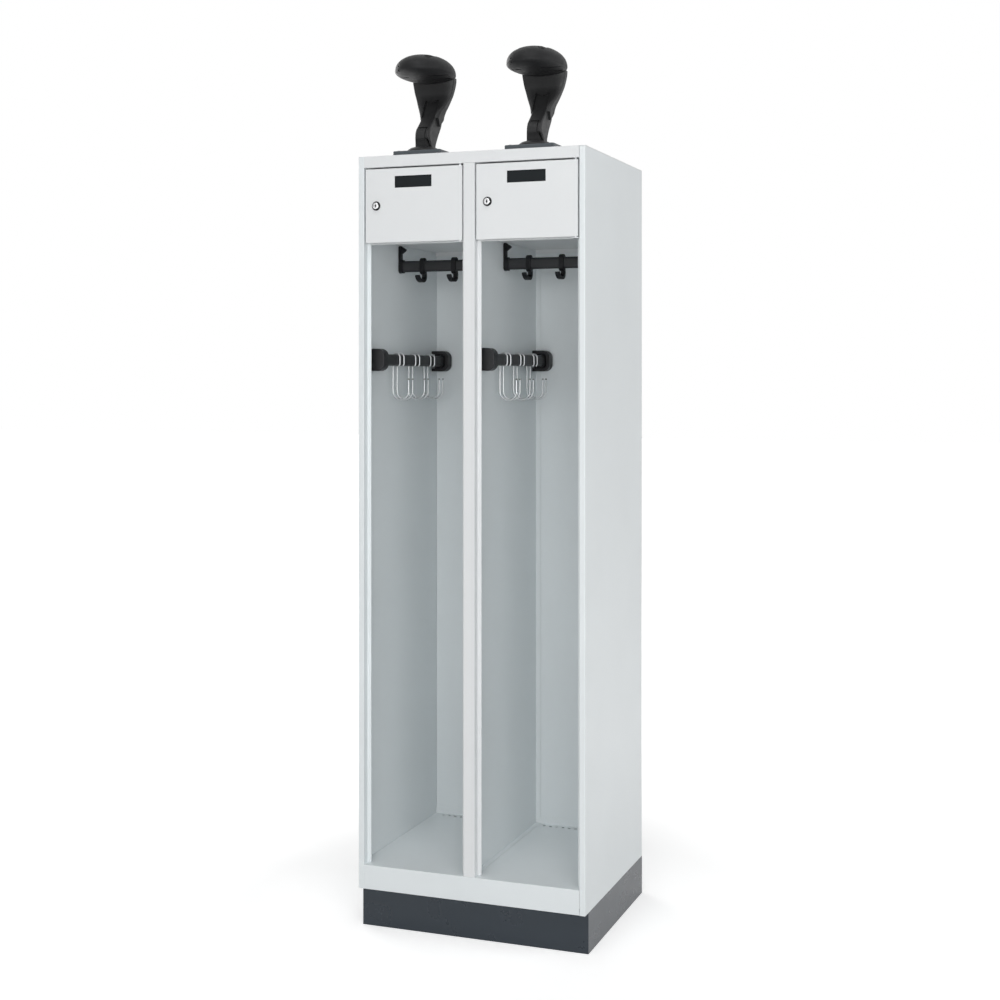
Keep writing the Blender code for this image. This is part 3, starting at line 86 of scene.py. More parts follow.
class Bench:
    """Operator calls that make and shape one mesh at a time."""

    @staticmethod
    def hold(item: bpy.types.Object) -> None:
        """Make an object the only selected one, and the active one.

        Args:
            item: The object.
        """
        bpy.ops.object.select_all(action="DESELECT")
        item.select_set(True)
        bpy.context.view_layer.objects.active = item

    @staticmethod
    def seated(name: str) -> bpy.types.Object:
        """Name the newly added primitive and put its place into its mesh.

        Args:
            name: Name of the piece.

        Returns:
            The object, at the origin, unturned and unscaled.
        """
        item = bpy.context.object
        item.name = item.data.name = name
        Bench.hold(item)
        bpy.ops.object.transform_apply(location=True, rotation=True, scale=True)
        return item

    @staticmethod
    def block(name: str, low: Sequence[float], high: Sequence[float]) -> bpy.types.Object:
        """Add a cube primitive between two corners.

        Args:
            name: Name of the piece.
            low: Its lowest corner.
            high: Its highest corner.

        Returns:
            The seated block.
        """
        low, high = Vector(low), Vector(high)
        bpy.ops.object.select_all(action="DESELECT")
        bpy.ops.mesh.primitive_cube_add(size=1, location=(low + high) / 2, scale=high - low)
        return Bench.seated(name)

    @staticmethod
    def rod(
        name: str, centre: Sequence[float], radius: float, length: float, axis: Axis = Axis.Z,
        sides: int = 48, fill: str = "NGON",
    ) -> bpy.types.Object:
        """Add a cylinder primitive.

        Args:
            name: Name of the piece.
            centre: Middle of its axis.
            radius: Its radius.
            length: Its length.
            axis: The direction of its axis.
            sides: Number of its sides.
            fill: How its ends are closed.

        Returns:
            The seated cylinder.
        """
        bpy.ops.object.select_all(action="DESELECT")
        bpy.ops.mesh.primitive_cylinder_add(
            vertices=sides, radius=radius, depth=length, end_fill_type=fill, location=centre,
            rotation=axis.value,
        )
        return Bench.seated(name)

    @staticmethod
    def oval_rod(
        name: str, centre: Sequence[float], height: float, width: float, length: float,
        axis: Axis, sides: int = 48, fill: str = "NGON",
    ) -> bpy.types.Object:
        """Add a cylinder whose section is drawn out upwards into an upright oval.

        Args:
            name: Name of the piece.
            centre: Middle of its axis.
            height: Height of the section.
            width: Width of the section.
            length: Length along the axis.
            axis: The direction of its axis, level.
            sides: Number of sides of the two half rounds together.
            fill: How its ends are closed.

        Returns:
            The seated oval rod.
        """
        item = Bench.rod(name, centre, width / 2, length, axis, sides, fill)
        rise = (height - width) / 2
        level = centre[2]
        for way in (-1, 1):
            with Bench.editing(item, "VERT"):
                Bench.pick(item, "verts", lambda point: (point.z - level) * way > LEVEL)
                bpy.ops.transform.translate(value=(0, 0, rise * way))
        return item

    @staticmethod
    def ball(
        name: str, centre: Sequence[float], half: Sequence[float], segments: int = 64, rings: int = 32,
    ) -> bpy.types.Object:
        """Add a sphere primitive with a half size of its own along each axis.

        Args:
            name: Name of the piece.
            centre: Its centre.
            half: Half its size along x, y and z.
            segments: Segments round it.
            rings: Rings from pole to pole.

        Returns:
            The seated ellipsoid.
        """
        bpy.ops.object.select_all(action="DESELECT")
        bpy.ops.mesh.primitive_uv_sphere_add(
            segments=segments, ring_count=rings, radius=1, location=centre, scale=half,
        )
        return Bench.seated(name)

    @staticmethod
    def outline(
        name: str, points: Sequence[Pair], axis: Axis, start: float, end: float,
    ) -> bpy.types.Object:
        """Bring a disc primitive's corners onto an outline and pull it out along an axis.

        Args:
            name: Name of the piece.
            points: The outline: (y, z) across an X axis, (x, z) across Y and (x, y) across Z.
            axis: The direction of its thickness.
            start: Its near face along the axis.
            end: Its far face along the axis.

        Returns:
            The seated plate, its faces outwards.
        """
        bpy.ops.object.select_all(action="DESELECT")
        bpy.ops.mesh.primitive_circle_add(vertices=len(points), radius=1, fill_type="NGON")
        item = Bench.seated(name)
        slot = list(Axis).index(axis)
        for vert, point in zip(item.data.vertices, points):
            place = list(point)
            place.insert(slot, start)
            vert.co = place
        travel = [0.0, 0.0, 0.0]
        travel[slot] = end - start
        with Bench.editing(item):
            bpy.ops.mesh.select_all(action="SELECT")
            bpy.ops.mesh.extrude_region_move(TRANSFORM_OT_translate={"value": travel})
            bpy.ops.mesh.select_all(action="SELECT")
            bpy.ops.mesh.normals_make_consistent(inside=False)
        return item

    @staticmethod
    def column(
        name: str, sections: Sequence[tuple[Sequence[float], float, float]], corner: float, steps: int = 8,
    ) -> bpy.types.Object:
        """Draw a squared column up through level sections, from a plane with rounded corners.

        Args:
            name: Name of the piece.
            sections: Centre, half width and half depth of each section, from the lowest up.
            corner: Radius of the corners, as a share of the half width and half depth.
            steps: Segments of each corner.

        Returns:
            The column, its faces outwards.
        """
        place, across, along = sections[0]
        bpy.ops.object.select_all(action="DESELECT")
        bpy.ops.mesh.primitive_plane_add(size=2, location=place)
        item = Bench.seated(name)
        with Bench.editing(item, "VERT"):
            bpy.ops.mesh.select_all(action="SELECT")
            bpy.ops.mesh.bevel(offset=corner, segments=steps, affect="VERTICES")
            bpy.ops.mesh.select_all(action="SELECT")
            bpy.ops.transform.resize(value=(across, along, 1), center_override=place)
            bpy.ops.mesh.select_mode(type="FACE")
            bpy.ops.mesh.select_all(action="SELECT")
            for target, wide, deep in sections[1:]:
                travel = Vector(target) - Vector(place)
                bpy.ops.mesh.extrude_region_move(TRANSFORM_OT_translate={"value": travel})
                bpy.ops.transform.resize(value=(wide / across, deep / along, 1), center_override=target)
                place, across, along = target, wide, deep
            bpy.ops.mesh.select_all(action="SELECT")
            bpy.ops.mesh.normals_make_consistent(inside=False)
        return item

    @staticmethod
    def wire(name: str, points: Sequence[Sequence[float]], radius: float, sides: int = 4) -> bpy.types.Object:
        """Bend a round wire through points.

        Args:
            name: Name of the piece.
            points: Its centre line.
            radius: Radius of the wire.
            sides: Bevel resolution of its section.

        Returns:
            The wire as a mesh with closed ends.
        """
        curve = bpy.data.curves.new(name, "CURVE")
        curve.dimensions = "3D"
        curve.bevel_depth = radius
        curve.bevel_resolution = sides
        curve.use_fill_caps = True
        spline = curve.splines.new("POLY")
        spline.points.add(len(points) - 1)
        for knot, point in zip(spline.points, points):
            knot.co = (*point, 1)
        item = bpy.data.objects.new(name, curve)
        bpy.context.scene.collection.objects.link(item)
        Bench.hold(item)
        bpy.ops.object.convert(target="MESH")
        item = bpy.context.object
        item.data.name = name
        with Bench.editing(item, "VERT"):
            bpy.ops.mesh.select_all(action="SELECT")
            bpy.ops.mesh.remove_doubles(threshold=radius / 100)
            bpy.ops.mesh.normals_make_consistent(inside=False)
        return item

    @staticmethod
    def score(item: bpy.types.Object, tool: bpy.types.Object, depth: float) -> None:
        """Cut a mark of an even depth into a piece's curved face.

        Args:
            item: The piece.
            tool: The mark's outline, pulled right through the face; it is used up.
            depth: Depth of the mark.
        """
        core = Bench.copy(item, item.name + "_core")
        with Bench.editing(core):
            bpy.ops.mesh.select_all(action="SELECT")
            bpy.ops.transform.shrink_fatten(value=-depth)
        Bench.carve(tool, core)
        Bench.carve(item, tool)

    @staticmethod
    @contextmanager
    def editing(item: bpy.types.Object, mode: str = "FACE") -> Iterator[None]:
        """Hold an object in edit mode, with nothing selected at the start.

        Args:
            item: The object to edit.
            mode: VERT, EDGE or FACE selection.
        """
        Bench.hold(item)
        bpy.ops.object.mode_set(mode="EDIT")
        bpy.ops.mesh.select_mode(type=mode)
        bpy.ops.mesh.select_all(action="DESELECT")
        yield
        bpy.ops.object.mode_set(mode="OBJECT")

    @staticmethod
    def pick(item: bpy.types.Object, parts: str, test: Callable[..., bool]) -> None:
        """Select the parts of a mesh that pass a test, in edit mode.

        Args:
            item: The object in edit mode.
            parts: faces, verts or edges.
            test: Takes a face's centre and normal, a vertex's place or the places of an edge's ends.
        """
        measures = {
            "faces": lambda face: (face.calc_center_median(), face.normal),
            "verts": lambda vert: (vert.co,),
            "edges": lambda edge: (edge.verts[0].co, edge.verts[1].co),
        }
        mesh = bmesh.from_edit_mesh(item.data)
        for part in getattr(mesh, parts):
            if test(*measures[parts](part)):
                part.select_set(True)
        if parts == "verts":
            mesh.select_flush(True)
        bmesh.update_edit_mesh(item.data)

    @staticmethod
    def apply(item: bpy.types.Object, kind: str, **settings: object) -> None:
        """Add a modifier, set it and apply it.

        Args:
            item: The object that it works on.
            kind: Blender's name of the modifier.
            settings: Its settings.
        """
        Bench.hold(item)
        modifier = item.modifiers.new(kind.lower(), kind)
        for key, value in settings.items():
            setattr(modifier, key, value)
        bpy.ops.object.modifier_apply(modifier=modifier.name)

    @staticmethod
    def carve(item: bpy.types.Object, *tools: bpy.types.Object, way: str = "DIFFERENCE") -> None:
        """Cut tools from a piece, or join them to it, and remove them.

        Args:
            item: The piece.
            tools: The shapes that are used up.
            way: DIFFERENCE, UNION or INTERSECT.
        """
        for tool in tools:
            Bench.apply(item, "BOOLEAN", operation=way, solver="EXACT", object=tool)
            bpy.data.objects.remove(tool, do_unlink=True)

    @staticmethod
    def round_edges(item: bpy.types.Object, width: float, segments: int = 3, angle: float = 40.0) -> None:
        """Round every edge that is sharper than an angle.

        Args:
            item: The piece.
            width: Radius of the rounding.
            segments: Steps across it.
            angle: The angle, in degrees.
        """
        limit = math.radians(angle)
        Bench.apply(item, "BEVEL", width=width, segments=segments, limit_method="ANGLE", angle_limit=limit)

    @staticmethod
    def shade(item: bpy.types.Object, angle: float = 38.0) -> None:
        """Shade a piece smooth where its faces meet at less than an angle, and its flats flat.

        Args:
            item: The piece.
            angle: The angle, in degrees.
        """
        Bench.hold(item)
        bpy.ops.object.shade_smooth_by_angle(angle=math.radians(angle))
        Bench.apply(item, "WEIGHTED_NORMAL", keep_sharp=True)

    @staticmethod
    def copy(item: bpy.types.Object, name: str, shift: Sequence[float] = (0, 0, 0)) -> bpy.types.Object:
        """Copy a piece with a mesh of its own, moved by a shift.

        Args:
            item: The piece to copy.
            name: Name of the copy.
            shift: How far the copy is moved.

        Returns:
            The copy, with its place in its mesh.
        """
        twin = bpy.data.objects.new(name, item.data.copy())
        twin.data.name = name
        twin.data.transform(Matrix.Translation(Vector(shift)))
        bpy.context.scene.collection.objects.link(twin)
        return twin


class Shader:
    """A material's node tree round its Principled BSDF."""

    def __init__(self, name: str) -> None:
        """Start a material.

        Args:
            name: Name of the material.
        """
        self.material = bpy.data.materials.new(name)
        self.material.use_nodes = True
        self.tree = self.material.node_tree
        self.surface = self.tree.nodes["Principled BSDF"]
        self.place = self.add("ShaderNodeTexCoord").outputs["Object"]

    def add(self, kind: str, **settings: object) -> bpy.types.Node:
        """Add a node and set its properties.

        Args:
            kind: Blender's name of the node's type.
            settings: Its properties.

        Returns:
            The node.
        """
        node = self.tree.nodes.new(kind)
        for key, value in settings.items():
            setattr(node, key, value)
        return node

    def join(self, start: bpy.types.NodeSocket, end: bpy.types.NodeSocket) -> None:
        """Link an output to an input."""
        self.tree.links.new(start, end)

    def set(self, **values: object) -> None:
        """Set constants on the surface's own sockets; a name's underscores stand for spaces."""
        for key, value in values.items():
            self.surface.inputs[key.replace("_", " ")].default_value = value

    def stretched(self, scale: Triple) -> bpy.types.NodeSocket:
        """The piece's coordinates, scaled by an amount of its own along each axis.

        Args:
            scale: The factor along each axis.

        Returns:
            The scaled coordinates.
        """
        mapping = self.add("ShaderNodeMapping")
        mapping.inputs["Scale"].default_value = scale
        self.join(self.place, mapping.inputs["Vector"])
        return mapping.outputs["Vector"]

    def noise(
        self, size: float, detail: float = 2.0, roughness: float = 0.5,
        place: bpy.types.NodeSocket | None = None,
    ) -> bpy.types.NodeSocket:
        """A noise with spots of about a size.

        Args:
            size: Size of a spot, in metres.
            detail: Octaves of the noise.
            roughness: Weight of the finer octaves.
            place: Coordinates to use in place of the piece's own.

        Returns:
            The noise's value, about 0.5.
        """
        node = self.add("ShaderNodeTexNoise")
        node.inputs["Scale"].default_value = 1 / size
        node.inputs["Detail"].default_value = detail
        node.inputs["Roughness"].default_value = roughness
        self.join(place or self.place, node.inputs["Vector"])
        return node.outputs["Fac"]

    def between(
        self, source: bpy.types.NodeSocket, low: float, high: float, start: float = 0.3, end: float = 0.7,
    ) -> bpy.types.NodeSocket:
        """Map a value's middle range to a range, and hold it there.

        Args:
            source: The value.
            low: Result at and below start.
            high: Result at and above end.
            start: Lower end of the value's range.
            end: Upper end of the value's range.

        Returns:
            The mapped value.
        """
        node = self.add("ShaderNodeMapRange")
        for key, value in (("From Min", start), ("From Max", end), ("To Min", low), ("To Max", high)):
            node.inputs[key].default_value = value
        self.join(source, node.inputs["Value"])
        return node.outputs["Result"]

    def blend(
        self, share: bpy.types.NodeSocket, first: Colour, second: Colour,
    ) -> bpy.types.NodeSocket:
        """Mix two colours by a share.

        Args:
            share: 0 gives the first colour, 1 the second.
            first: The first colour.
            second: The second colour.

        Returns:
            The mixed colour.
        """
        node = self.add("ShaderNodeMix", data_type="RGBA")
        node.inputs["A"].default_value = (*first, 1)
        node.inputs["B"].default_value = (*second, 1)
        self.join(share, node.inputs["Factor"])
        return node.outputs["Result"]

    def relief(
        self, height: bpy.types.NodeSocket, depth: float, strength: float,
        under: bpy.types.NodeSocket | None = None,
    ) -> bpy.types.NodeSocket:
        """Turn a height into a bumped normal.

        Args:
            height: The height, from 0 to 1.
            depth: What 1 is, in metres.
            strength: How much of it shows.
            under: A normal that lies under this one.

        Returns:
            The bumped normal.
        """
        node = self.add("ShaderNodeBump")
        node.inputs["Distance"].default_value = depth
        node.inputs["Strength"].default_value = strength
        self.join(height, node.inputs["Height"])
        if under is not None:
            self.join(under, node.inputs["Normal"])
        return node.outputs["Normal"]


def arc(centre: Pair, radius: float, start: float, end: float, steps: int) -> list[Pair]:
    """Points along an arc.

    Args:
        centre: Its centre.
        radius: Its radius.
        start: Its first angle.
        end: Its last angle.
        steps: Number of its chords.

    Returns:
        The points, both ends with them.
    """
    turns = [start + (end - start) * step / steps for step in range(steps + 1)]
    return [(centre[0] + radius * math.cos(turn), centre[1] + radius * math.sin(turn)) for turn in turns]


def stroke(points: Sequence[Pair], width: float) -> list[Pair]:
    """The closed outline of a line drawn through points with a flat pen.

    Args:
        points: The line.
        width: Its width.

    Returns:
        The outline, up one side and down the other.
    """
    line = [Vector(point) for point in points]
    left, right = [], []
    for index, point in enumerate(line):
        before = (point - line[index - 1]).normalized() if index else None
        after = (line[index + 1] - point).normalized() if index + 1 < len(line) else None
        before, after = before or after, after or before
        run = (before + after).normalized()
        side = Vector((-run.y, run.x)) * (width / 2 / max(run.dot(after), 0.5))
        left.append(point + side)
        right.append(point - side)
    return [tuple(point) for point in left + right[::-1]]


def through(rows: Sequence[Sequence[float]], level: float) -> tuple[float, ...]:
    """Read a table at a level, on a smooth curve through its rows.

    Args:
        rows: The table; the first value of each row is its level, rising.
        level: The level to read at.

    Returns:
        The other values at that level.
    """
    index = max(i for i in range(len(rows) - 1) if rows[i][0] <= level + LEVEL or i == 0)
    low, high = rows[index], rows[index + 1]
    before, after = rows[max(index - 1, 0)], rows[min(index + 2, len(rows) - 1)]
    span = high[0] - low[0]
    share = (level - low[0]) / span
    square, cube = share * share, share ** 3
    values = []
    for part in range(1, len(low)):
        start = (high[part] - before[part]) / (high[0] - before[0]) * span
        end = (after[part] - low[part]) / (after[0] - low[0]) * span
        values.append(
            low[part] * (2 * cube - 3 * square + 1) + start * (cube - 2 * square + share)
            + high[part] * (3 * square - 2 * cube) + end * (cube - square)
        )
    return tuple(values)


def tinted(colour: Colour, factor: float) -> Colour:
    """A colour made lighter or darker by a factor."""
    return tuple(min(1.0, part * factor) for part in colour)


@dataclass(frozen=True)
class PowderCoat:
    """A baked powder coat: fine pebbled skin over a faint orange peel."""

    name: str
    colour: Colour
    roughness: float = 0.38
    variation: float = 0.018    # share by which the colour drifts
    cloud: float = 0.35         # size of the colour's drift
    fleck: float = 0.0009       # size of the fine flecks
    pebble: float = 0.0011      # size of the pebbled skin's bumps
    pebble_depth: float = 0.00005
    peel: float = 0.006         # size of the orange peel's waves
    peel_depth: float = 0.00004
    specular: float = 0.5
    wear: Pair = (0.94, 1.08)   # least and most roughness, as parts of it
    wear_share: float = 0.2     # size of the worn spots, as a share of the drift's

    def make(self) -> bpy.types.Material:
        """Build the material.

        Returns:
            The material.
        """
        shader = Shader(self.name)
        drift = shader.between(shader.noise(self.cloud, detail=3), 0, 1)
        dark, light = tinted(self.colour, 1 - self.variation), tinted(self.colour, 1 + self.variation)
        base = shader.blend(drift, dark, light)
        flecks = shader.noise(self.fleck, detail=1)
        flecks = shader.between(flecks, 1 - self.variation, 1 + self.variation)
        shade = shader.add("ShaderNodeMix", data_type="RGBA", blend_type="MULTIPLY")
        shade.inputs["Factor"].default_value = 1
        shader.join(base, shade.inputs["A"])
        shader.join(flecks, shade.inputs["B"])
        shader.join(shade.outputs["Result"], shader.surface.inputs["Base Color"])
        least, most = (self.roughness * part for part in self.wear)
        worn = shader.noise(self.cloud * self.wear_share, detail=4, roughness=0.6)
        wear = shader.between(worn, least, most)
        shader.join(wear, shader.surface.inputs["Roughness"])
        peel = shader.relief(shader.noise(self.peel), self.peel_depth, strength=0.6)
        pebbles = shader.noise(self.pebble, roughness=0.6)
        skin = shader.relief(pebbles, self.pebble_depth, strength=0.5, under=peel)
        shader.join(skin, shader.surface.inputs["Normal"])
        shader.set(Specular_IOR_Level=self.specular)
        return shader.material


@dataclass(frozen=True)
class MouldedPlastic:
    """Injection-moulded plastic with a fine spark-eroded skin and handling marks."""

    name: str
    colour: Colour
    roughness: float = 0.42
    grain: float = 0.0007       # size of the mould's grain
    grain_depth: float = 0.00004
    flow: float = 0.05          # size of the flow marks
    marks: float = 0.012        # size of the handling marks
    specular: float = 0.5
    shades: Pair = (0.86, 1.16)     # darkest and lightest flow mark, as parts of the colour
    wear: Pair = (-0.05, 0.08)      # change of roughness at the marks
    flow_stretch: Triple = (1.0, 1.0, 0.3)

    def make(self) -> bpy.types.Material:
        """Build the material.

        Returns:
            The material.
        """
        shader = Shader(self.name)
        flow = shader.noise(self.flow, place=shader.stretched(self.flow_stretch))
        flow = shader.between(flow, 0, 1)
        base = shader.blend(flow, *(tinted(self.colour, part) for part in self.shades))
        shader.join(base, shader.surface.inputs["Base Color"])
        least, most = (self.roughness + part for part in self.wear)
        marks = shader.noise(self.marks, detail=5, roughness=0.65)
        marks = shader.between(marks, least, most, start=0.35, end=0.65)
        shader.join(marks, shader.surface.inputs["Roughness"])
        grain = shader.noise(self.grain, roughness=0.6)
        grain = shader.relief(grain, self.grain_depth, strength=0.45)
        shader.join(grain, shader.surface.inputs["Normal"])
        shader.set(Specular_IOR_Level=self.specular)
        return shader.material


@dataclass(frozen=True)
class PlatedMetal:
    """Plated metal with fine polishing marks along an axis."""

    name: str
    colour: Colour
    roughness: float
    scratch: float = 0.0004     # width of a polishing mark
    scratch_depth: float = 0.000004
    stretch: Triple = (1.0, 1.0, 0.06)
    bloom: float = 0.010        # size of the duller spots
    dulled: float = 0.93        # their colour, as a part of the metal's
    wear: Pair = (0.8, 1.35)    # least and most roughness, as parts of it

    def make(self) -> bpy.types.Material:
        """Build the material.

        Returns:
            The material.
        """
        shader = Shader(self.name)
        spots = shader.noise(self.bloom, detail=3, roughness=0.6)
        base = shader.blend(shader.between(spots, 0, 1), tinted(self.colour, self.dulled), self.colour)
        shader.join(base, shader.surface.inputs["Base Color"])
        dull = shader.between(spots, *(self.roughness * part for part in self.wear))
        shader.join(dull, shader.surface.inputs["Roughness"])
        lines = shader.noise(self.scratch, place=shader.stretched(self.stretch))
        scratches = shader.relief(lines, self.scratch_depth, strength=0.5)
        shader.join(scratches, shader.surface.inputs["Normal"])
        shader.set(Metallic=1.0)
        return shader.material


@dataclass(frozen=True)
class Finishes:
    """Every finish of the locker, made once."""

    body: PowderCoat = PowderCoat("light_grey_coat", (0.745, 0.762, 0.772), specular=0.40)
    # A lighter, bluer copy of the body coat for the compartments' inner sheets: painted light that brightens
    # the insides.
    inside: PowderCoat = PowderCoat("inside_grey_coat_painted_light", (0.762, 0.804, 0.818), specular=0.40)
    door: PowderCoat = PowderCoat("door_grey_coat", (0.754, 0.772, 0.781), 0.36, specular=0.40)
    base: PowderCoat = PowderCoat(
        "anthracite_coat", (0.0195, 0.0285, 0.0390), 0.28, 0.04, pebble_depth=0.00003, specular=0.42,
    )
    plate: PowderCoat = PowderCoat("holder_plate_coat", (0.046, 0.056, 0.064), 0.42, 0.05)
    # The helmet head's black, made darker than the arm and hood's to offset the light that falls on its top:
    # painted shade.
    head: MouldedPlastic = MouldedPlastic("head_black_painted_shade", (0.0115, 0.0118, 0.0126), 0.50, specular=0.16)
    # The arm, hood and rosette's black, made lighter to offset the head's shadow on the hood: painted light.
    holder: MouldedPlastic = MouldedPlastic("holder_black_painted_light", (0.0180, 0.0183, 0.0190), 0.44, specular=0.25)
    fitting: MouldedPlastic = MouldedPlastic("fitting_black", (0.0066, 0.0072, 0.0085), 0.42, specular=0.19)
    socket: MouldedPlastic = MouldedPlastic("socket_black", (0.0125, 0.0130, 0.0145), 0.42, specular=0.30)
    tube: PowderCoat = PowderCoat(
        "tube_black_coat", (0.0195, 0.0205, 0.0225), 0.44, 0.06, 0.05, specular=0.30,
    )
    label: MouldedPlastic = MouldedPlastic("label_black", (0.0060, 0.0085, 0.0100), 0.45, specular=0.16)
    ring: MouldedPlastic = MouldedPlastic("lock_ring_black", (0.0070, 0.0075, 0.0085), 0.42, specular=0.20)
    chrome: PlatedMetal = PlatedMetal("lock_chrome", (0.90, 0.91, 0.92), 0.16)
    zinc: PlatedMetal = PlatedMetal("bright_zinc", (0.62, 0.64, 0.66), 0.30)
    wire: PlatedMetal = PlatedMetal("hook_wire", (0.60, 0.615, 0.625), 0.38)

    def made(self) -> dict[str, bpy.types.Material]:
        """Build every finish.

        Returns:
            Each finish's material by its field name.
        """
        return {name: getattr(self, name).make() for name in self.__dataclass_fields__}


class Dresser:
    """Puts finishes on pieces and tells the frame what each piece is."""

    def __init__(self, materials: dict[str, bpy.types.Material]) -> None:
        """Keep the made finishes.

        Args:
            materials: Each finish's material by name.
        """
        self.materials = materials

    def coat(self, item: bpy.types.Object, finish: str) -> None:
        """Give an object one material."""
        item.data.materials.clear()
        item.data.materials.append(self.materials[finish])

    def node(self, name: str, finish: str) -> None:
        """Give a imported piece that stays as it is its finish.

        Args:
            name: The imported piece.
            finish: Name of its finish.
        """
        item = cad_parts[name]
        for index in range(max(1, len(item.material_slots))):
            if index < len(item.material_slots):
                item.material_slots[index].material = self.materials[finish]
            else:
                item.data.materials.append(self.materials[finish])
        log.info("dressed %s with %s", name, finish)

    def piece(
        self, item: bpy.types.Object, finish: str, body: str = ROOT, nodes: Sequence[str] = (),
    ) -> bpy.types.Object:
        """Finish a new piece and fasten it to its body.

        Args:
            item: The piece.
            finish: Name of its finish.
            body: The body that it moves with.
            nodes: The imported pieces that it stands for.

        Returns:
            The piece.
        """
        self.coat(item, finish)
        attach(item, body)
        if nodes:
            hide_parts(*nodes)
        log.info("built %s on %s", item.name, body)
        return item


@dataclass
class SidePart:
    """A sub-assembly that each compartment has one of."""

    side: Side
    front: float = field(init=False)

    def __post_init__(self) -> None:
        """Take the locker's front plane from its roof."""
        self.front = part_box("roof_panel")[0].y

    def named(self, stem: str, end: object = "") -> str:
        """A piece's name on this side, with its number or end if it has one."""
        return "_".join(filter(None, (stem, self.side.value, str(end))))

    def middle(self, stem: str, end: object = "") -> Vector:
        """The middle of one of this side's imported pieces."""
        low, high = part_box(self.named(stem, end))
        return (low + high) / 2


@dataclass
class Carcass:
    """The folded sheet pieces and the plinth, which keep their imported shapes."""

    front_sheets: tuple[str, ...] = ("centre_post", "roof_panel")
    # These sheets take the lighter inside copy of the body coat, painted light for the compartments; the side
    # panels' outer faces get it too.
    inner_sheets: tuple[str, ...] = (
        "side_panel_left", "side_panel_right", "partition", "back_panel", "floor_pan",
    )

    def build(self, dresser: Dresser) -> None:
        """Dress every sheet.

        Args:
            dresser: Gives the pieces their finish and tells the frame what they are.
        """
        for name in self.front_sheets:
            dresser.node(name, "body")
        # The inner sheets get the lighter copy of the body coat: painted light in the compartments.
        for name in self.inner_sheets:
            dresser.node(name, "inside")
        dresser.node("plinth", "base")


@dataclass
class Shelf(SidePart):
    """The floor of one lock box: a folded sheet with a hemmed lip in front."""

    sheet: float = 0.001
    lip: float = 0.0165             # lip's lower edge below the shelf's top
    hem: float = 0.010
    flange: float = 0.012           # down behind and up each side
    bend: float = 0.002
    edge: float = 0.0003

    def build(self, dresser: Dresser) -> None:
        """Make the sheet round its packed place and dress it.

        Args:
            dresser: Gives the pieces their finish and tells the frame what they are.
        """
        node = self.named("shelf")
        low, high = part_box(node)
        top, half = high.z - self.flange, self.sheet / 2
        front, rear, under = low.y + half, high.y - half, top - self.lip + half
        line = [
            (rear, top - self.flange), (rear, top - half), (front, top - half), (front, under),
            (low.y + self.hem, under),
        ]
        name = self.named("lock_shelf")
        board = Bench.outline(name, stroke(line, self.sheet), Axis.X, low.x, high.x)
        for start, end in ((low.x, low.x + self.sheet), (high.x - self.sheet, high.x)):
            near, far = low.y + self.flange, high.y - self.bend
            side = Bench.block(name + "_side", (start, near, top - half), (end, far, high.z))
            Bench.carve(board, side, way="UNION")
        Bench.round_edges(board, self.edge, segments=2, angle=60)
        Bench.shade(board)
        dresser.piece(board, "body", nodes=[node])


